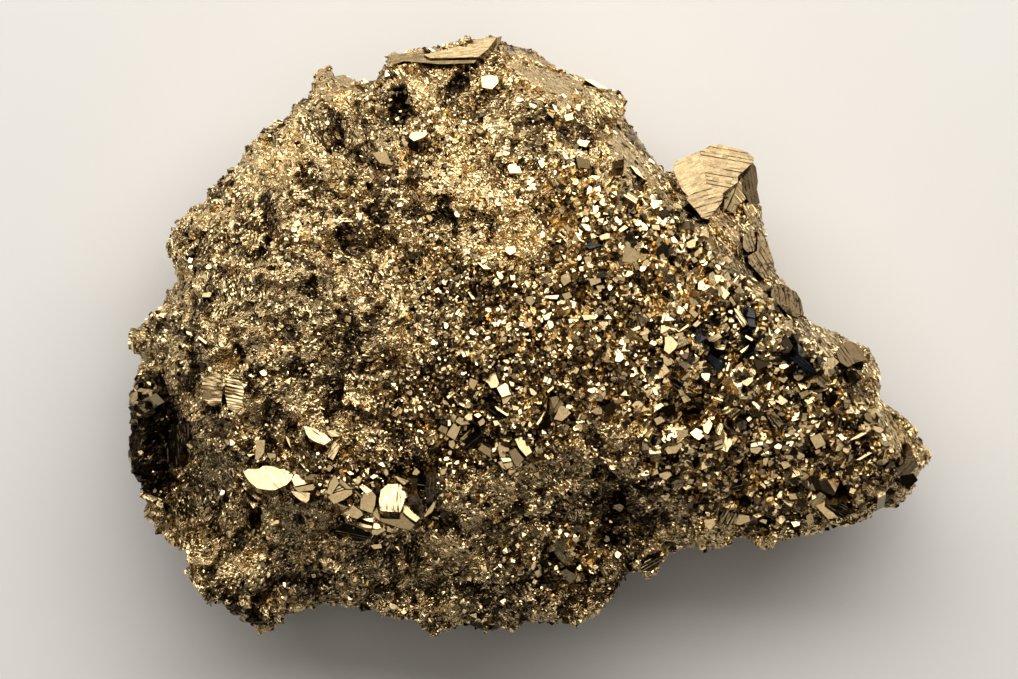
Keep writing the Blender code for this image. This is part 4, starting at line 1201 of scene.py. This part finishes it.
def flow(place):
    """Which way the grain of the broken surface runs, in degrees from level."""
    strongest = np.full(len(place), 0.3)
    angle = np.full(len(place), -20.0)
    for *ellipse, run in GRAIN:
        share = patches(place, [(*ellipse, 1.0)])
        angle = np.where(share > strongest, run, angle)
        strongest = np.maximum(strongest, share)
    angle += (patch_value(place, *FLOW_PATCHES) - 0.5) * 80
    return np.where(beyond_ridge(place) > 0.5, FLANK_GRAIN, angle)


def upward(normal):
    """1 where the ground faces up, 0 where it faces down, smooth in between."""
    return ease((normal[:, 2] + 0.1) / 0.5)


def druse_tones(place, draw):
    """Crystals side by side differ: some are black, some dull and some bright, partly as painted
    reflection, and fewer are black in the places painted brighter.
    """
    pick = draw.random(len(place)) + patches(place, SHADES) * 0.25
    middling = 0.35 + 0.6 * draw.random(len(place))
    return np.where(pick < 0.22, 0.03, np.where(pick < 0.57, middling, 1.0))


def fine_tones(place, draw):
    """Fine slivers differ less, and go by the patches they stand in and by painted light and shade:
    brighter in the brighter places and on the flank, darker in the darker places.
    """
    shade = patches(place, SHADES) * 0.55 + beyond_ridge(place) * 0.1
    shade += (patch_value(place, *TONE_PATCHES) - 0.5) * 0.4
    shade += (patch_value(place, *FLECK_PATCHES) - 0.5) * 0.3
    pick = draw.random(len(place)) + shade + 0.05
    return np.where(pick < 0.24, 0.03, np.where(pick < 0.75, 0.22 + 0.6 * pick, 1.0))


def in_druse(place, normal):
    """How closely crystals stand, as a share: here in the coarse crust."""
    return upward(normal) * coarse(place) * (1 - beyond_ridge(place))


def in_fine_zone(place, normal):
    """The same for the ground between the coarse fields, where some patches are sparse."""
    sparse = 0.3 + 0.7 * (patch_value(place, *CROWD_PATCHES) > 0.25)
    open_ground = upward(normal) * sparse * is_rough(place)
    return open_ground * (1 - 0.93 * coarse(place)) * (1 - beyond_ridge(place))


def on_flank(place, normal):
    """The same for the flank beyond the ridge."""
    return beyond_ridge(place) * ease((normal[:, 2] - 0.3) / 0.3) * is_rough(place)


def on_sides(place, normal):
    """The same for the sides and the underside, down to a few millimetres above what it lies on."""
    return (1 - upward(normal)) * ease((place[:, 2] - 3) / 4)


def sized(low, high):
    """Sizes drawn between two, with the small ones more common."""
    return lambda place, draw: low + (high - low) * draw.random(len(place)) ** 1.8


def druse_sized(low, high):
    """Sizes for the coarse crust, whose crystals are smaller towards the middle of the specimen."""
    plain = sized(low, high)
    return lambda place, draw: plain(place, draw) * (0.6 + 0.4 * ease((place[:, 0] + 6) / 30))


# The kinds of small crystal: shape, how it is stretched along, across and up, how many are tried, their
# sizes in millimetres, where they stand, how far they tilt in degrees, and their tones.
Crust = collections.namedtuple("Crust", "name shape stretch count sizes weigh tilt tones")
CRUSTS = [
    Crust("druse_large", "cut", BLOCK, 200, druse_sized(1.8, 2.5), in_druse, 24, druse_tones),
    Crust("druse_lined", "lined", BLOCK, 450, druse_sized(1.3, 2.3), in_druse, 25, druse_tones),
    Crust("druse_middling", "cut", BLOCK, 5200, druse_sized(1.05, 1.85), in_druse, 24, druse_tones),
    Crust("druse_small", "cube", BLOCK, 15500, druse_sized(0.5, 1.15), in_druse, 26, druse_tones),
    Crust("fine_crust", "sliver", LONG, 12000, sized(0.3, 0.8), in_fine_zone, 9, fine_tones),
    Crust("finest_crust", "sliver", LONG, 24000, sized(0.2, 0.4), in_fine_zone, 14, fine_tones),
    Crust("fine_cubes", "cut", BLOCK, 2400, sized(0.45, 1.2), in_fine_zone, 26, druse_tones),
    Crust("flank_crust", "sliver", LONGEST, 3500, sized(0.3, 0.75), on_flank, 5, fine_tones),
    Crust("side_crust", "cube", FLAT, 9000, sized(0.45, 1.15), on_sides, 14, fine_tones),
]
FIRST_CRUST_SEED = 31


def build_crust(matrix, crystals, material):
    """The crust of small crystals: coarse fields, fine slivers between them and flat ones on the sides."""
    shapes = model_shapes()
    ground = Ground(matrix, crystals)
    for number, crust in enumerate(CRUSTS):
        piece = strew(crust, shapes[crust.shape], ground, material, FIRST_CRUST_SEED + number)
        hand_over(piece, "pyrite")


class SpecimenColours(bpy.types.PropertyGroup):
    pyrite: FloatVectorProperty(
        name="Pyrite", description="Clean pyrite of the matrix", subtype="COLOR", default=(0.83, 0.62, 0.32)
    )
    bright: FloatVectorProperty(
        name="Bright faces", description="The brightest crystal faces", subtype="COLOR",
        default=(0.91, 0.69, 0.37),
    )
    # The dark end of the pyrite finishes, which a low tone mixes towards: partly brown tarnish, partly
    # painted shade.
    tarnish_and_shade: FloatVectorProperty(
        name="Tarnish", description="Brown tarnish", subtype="COLOR", default=(0.04, 0.026, 0.014)
    )
    rust: FloatVectorProperty(
        name="Rust", description="Rusty stains", subtype="COLOR", default=(0.62, 0.42, 0.16)
    )
    galena: FloatVectorProperty(
        name="Galena", description="Lead-grey galena", subtype="COLOR", default=(0.34, 0.37, 0.40)
    )
    # The dark end of the galena finish: partly dark tarnish, partly painted shade on faces turned from the
    # light.
    galena_tarnish_and_shade: FloatVectorProperty(
        name="Galena tarnish", description="Dark tarnish on galena", subtype="COLOR",
        default=(0.015, 0.017, 0.02),
    )


class SpecimenSizes(bpy.types.PropertyGroup):
    matrix_detail: FloatProperty(
        name="Matrix detail", description="Size of the smallest faces of the matrix", unit="LENGTH",
        default=0.78 * MM, precision=5,
    )
    crystal_reach: FloatProperty(
        name="Crystal depth", description="How far a crystal goes down into the matrix", unit="LENGTH",
        default=2.6 * MM, precision=5,
    )


class StageSettings(bpy.types.PropertyGroup):
    key_radiance: FloatProperty(name="Key light", description="Light over the upper edge", default=4.4)
    fill_radiance: FloatProperty(name="Fill light", description="Light from overhead", default=1.0)
    world_light: FloatProperty(name="Room light", description="Light from all round", default=0.015)
    backdrop: FloatProperty(name="Backdrop", description="Brightness behind the specimen", default=0.7)
    floor_size: FloatProperty(name="Floor", description="Side of the floor", unit="LENGTH", default=2.4)
    floor_colour: FloatVectorProperty(
        name="Floor", description="The pale floor", subtype="COLOR", default=(0.66, 0.65, 0.635)
    )


# The groups of larger crystals: their faces, how many times the usual depth they go down, how far they
# stand out, how far they follow the slope of the ground, which of its heights they take from 0 to 1, and
# their finish.
CRYSTAL_GROUPS = {
    "large_crystals": (LARGE_FACES, 2, 0.0, 0.4, 1.0, "large"),
    "shelf_crystals": (SHELF_FACES, 1, 0.2, 0, 0.8, "pyrite"),
    "centre_crystals": (CENTRE_FACES, 1, 0.4, 0, 0.8, "pyrite"),
    "right_crystals": (RIGHT_FACES, 1, 0.4, 0, 0.8, "pyrite"),
    "upper_crystals": (UPPER_FACES, 1, 0.2, 0, 0.8, "pyrite"),
    "edge_crystals": (EDGE_AND_LOW_FACES, 1, -0.1, 0.8, 0.5, "pyrite"),
    "galena_crystals": (GALENA_FACES, 1, 0.4, 0, 0.8, "galena"),
}


FIRST_CRYSTAL_SEED = 50


def trees_of_crystals():
    """The surface of each group of larger crystals."""
    return [tree_of(bpy.data.objects[name]) for name in CRYSTAL_GROUPS]


def settings():
    """The scene's colours, sizes and stage settings."""
    return [getattr(bpy.context.scene, name) for name in GROUPS]


class SPECIMEN_OT_matrix(bpy.types.Operator):
    """Builds the matrix of massive pyrite over the solid"""

    bl_idname = "specimen.matrix"
    bl_label = "Matrix"

    def execute(self, context):
        colours, sizes, _ = settings()
        build_matrix(matrix_finish(colours), sizes.matrix_detail)
        return {"FINISHED"}


class SPECIMEN_OT_crystals(bpy.types.Operator):
    """Builds the larger crystals, in groups, and lowers the matrix under their faces"""

    bl_idname = "specimen.crystals"
    bl_label = "Larger crystals"

    def execute(self, context):
        colours, sizes, _ = settings()
        pyrite, lead = (colours.bright, colours.tarnish_and_shade), (colours.galena, colours.galena_tarnish_and_shade)
        finishes = {
            "pyrite": crystal_finish("pyrite crystals", colours, *pyrite, 0.1, 0.07),
            "galena": crystal_finish("galena crystals", colours, *lead, 0.14, 0.05),
            "large": crystal_finish("large pyrite crystals", colours, *pyrite, 0.12, 0.16),
        }
        matrix = bpy.data.objects["matrix"]
        tree = tree_of(matrix)
        for number, (name, (faces, deeper, *growth, finish)) in enumerate(CRYSTAL_GROUPS.items()):
            growth = (sizes.crystal_reach / MM * deeper, *growth)
            piece = build_faces(name, faces, tree, growth, finishes[finish], FIRST_CRYSTAL_SEED + number)
            hand_over(piece, "galena" if finish == "galena" else "pyrite")
        sink_under(matrix, trees_of_crystals())
        return {"FINISHED"}


class SPECIMEN_OT_crust(bpy.types.Operator):
    """Builds the crust of small crystals over the matrix, round the larger ones"""

    bl_idname = "specimen.crust"
    bl_label = "Crust of small crystals"

    def execute(self, context):
        colours, _, _ = settings()
        finish = crystal_finish("crust crystals", colours, colours.bright, colours.tarnish_and_shade, 0.12, 0.04)
        build_crust(bpy.data.objects["matrix"], trees_of_crystals(), finish)
        return {"FINISHED"}


def add_light(name, place, size, colour, radiance):
    """A soft rectangular light facing the middle of the specimen, as bright all over as is asked for."""
    lamp = bpy.data.lights.new(name, "AREA")
    lamp.shape = "RECTANGLE"
    lamp.size, lamp.size_y = size
    lamp.energy = radiance * math.pi * size[0] * size[1]
    lamp.color = colour
    light = bpy.data.objects.new(name, lamp)
    light.location = place
    light.rotation_euler = (LIGHT_TARGET - Vector(place)).to_track_quat("-Z", "Y").to_euler()
    light.visible_camera = False
    bpy.context.collection.objects.link(light)


def light_room(scene, stage):
    """A plain room, bright round the horizon and dim overhead, which the camera sees as a pale backdrop."""
    room = Graph(bpy.data.worlds.new("studio"), "Background")
    towards = room.add("ShaderNodeTexCoord", {}, {}, "Generated")
    height = room.add("ShaderNodeSeparateXYZ", {}, {0: towards}, "Z")
    fade = {"Value": height, "To Min": HORIZON_LIGHT, "To Max": stage.world_light}
    fade["From Min"], fade["From Max"] = HORIZON_FADE
    light = room.add("ShaderNodeMapRange", {"interpolation_type": "SMOOTHSTEP"}, fade)
    seen = room.add("ShaderNodeLightPath", {}, {}, "Is Camera Ray")
    strength = room.add("ShaderNodeMix", {}, {0: seen, 2: light, 3: stage.backdrop})
    scene.world = room.feed(Color=ROOM_COLOUR, Strength=strength)


def add_camera(scene):
    data = bpy.data.cameras.new("camera")
    data.lens = FOCAL_LENGTH
    data.sensor_width = SENSOR_WIDTH
    data.clip_end = CAMERA_SIGHT
    camera = bpy.data.objects.new("camera", data)
    camera.location = CAMERA_PLACE * MM
    scene.collection.objects.link(camera)
    scene.camera = camera


class SPECIMEN_OT_stage(bpy.types.Operator):
    """Builds the floor, the lights and the camera"""

    bl_idname = "specimen.stage"
    bl_label = "Floor, lights and camera"

    def execute(self, context):
        _, _, stage = settings()
        clear_selection()
        bpy.ops.mesh.primitive_plane_add(size=stage.floor_size)
        floor = context.object
        floor.name = "floor"
        floor.data.materials.append(floor_finish(stage.floor_colour))
        add_light("key", *KEY_LIGHT, stage.key_radiance)
        add_light("fill", *FILL_LIGHT, stage.fill_radiance)
        light_room(context.scene, stage)
        add_camera(context.scene)
        context.scene.view_settings.view_transform = "Standard"
        return {"FINISHED"}


class SPECIMEN_PT_panel(bpy.types.Panel):
    """Sizes, colours and the builders, in the sidebar"""

    bl_label = "Specimen"
    bl_idname = "SPECIMEN_PT_panel"
    bl_space_type = "VIEW_3D"
    bl_region_type = "UI"
    bl_category = "Specimen"

    def draw(self, context):
        for group in settings():
            for name in group.__annotations__:
                self.layout.prop(group, name)
        for operator in OPERATORS:
            self.layout.operator(operator.bl_idname)


GROUPS = {
    "specimen_colours": SpecimenColours,
    "specimen_sizes": SpecimenSizes,
    "specimen_stage": StageSettings,
}
OPERATORS = (SPECIMEN_OT_stage, SPECIMEN_OT_matrix, SPECIMEN_OT_crystals, SPECIMEN_OT_crust)


def register():
    for name, group in GROUPS.items():
        bpy.utils.register_class(group)
        setattr(bpy.types.Scene, name, PointerProperty(type=group))
    for operator in OPERATORS:
        bpy.utils.register_class(operator)
    bpy.utils.register_class(SPECIMEN_PT_panel)


def unregister():
    bpy.utils.unregister_class(SPECIMEN_PT_panel)
    for operator in reversed(OPERATORS):
        bpy.utils.unregister_class(operator)
    for name, group in GROUPS.items():
        delattr(bpy.types.Scene, name)
        bpy.utils.unregister_class(group)


def main():
    register()
    bpy.ops.specimen.stage()
    bpy.ops.specimen.matrix()
    bpy.ops.specimen.crystals()
    bpy.ops.specimen.crust()


if __name__ == "__main__":
    main()
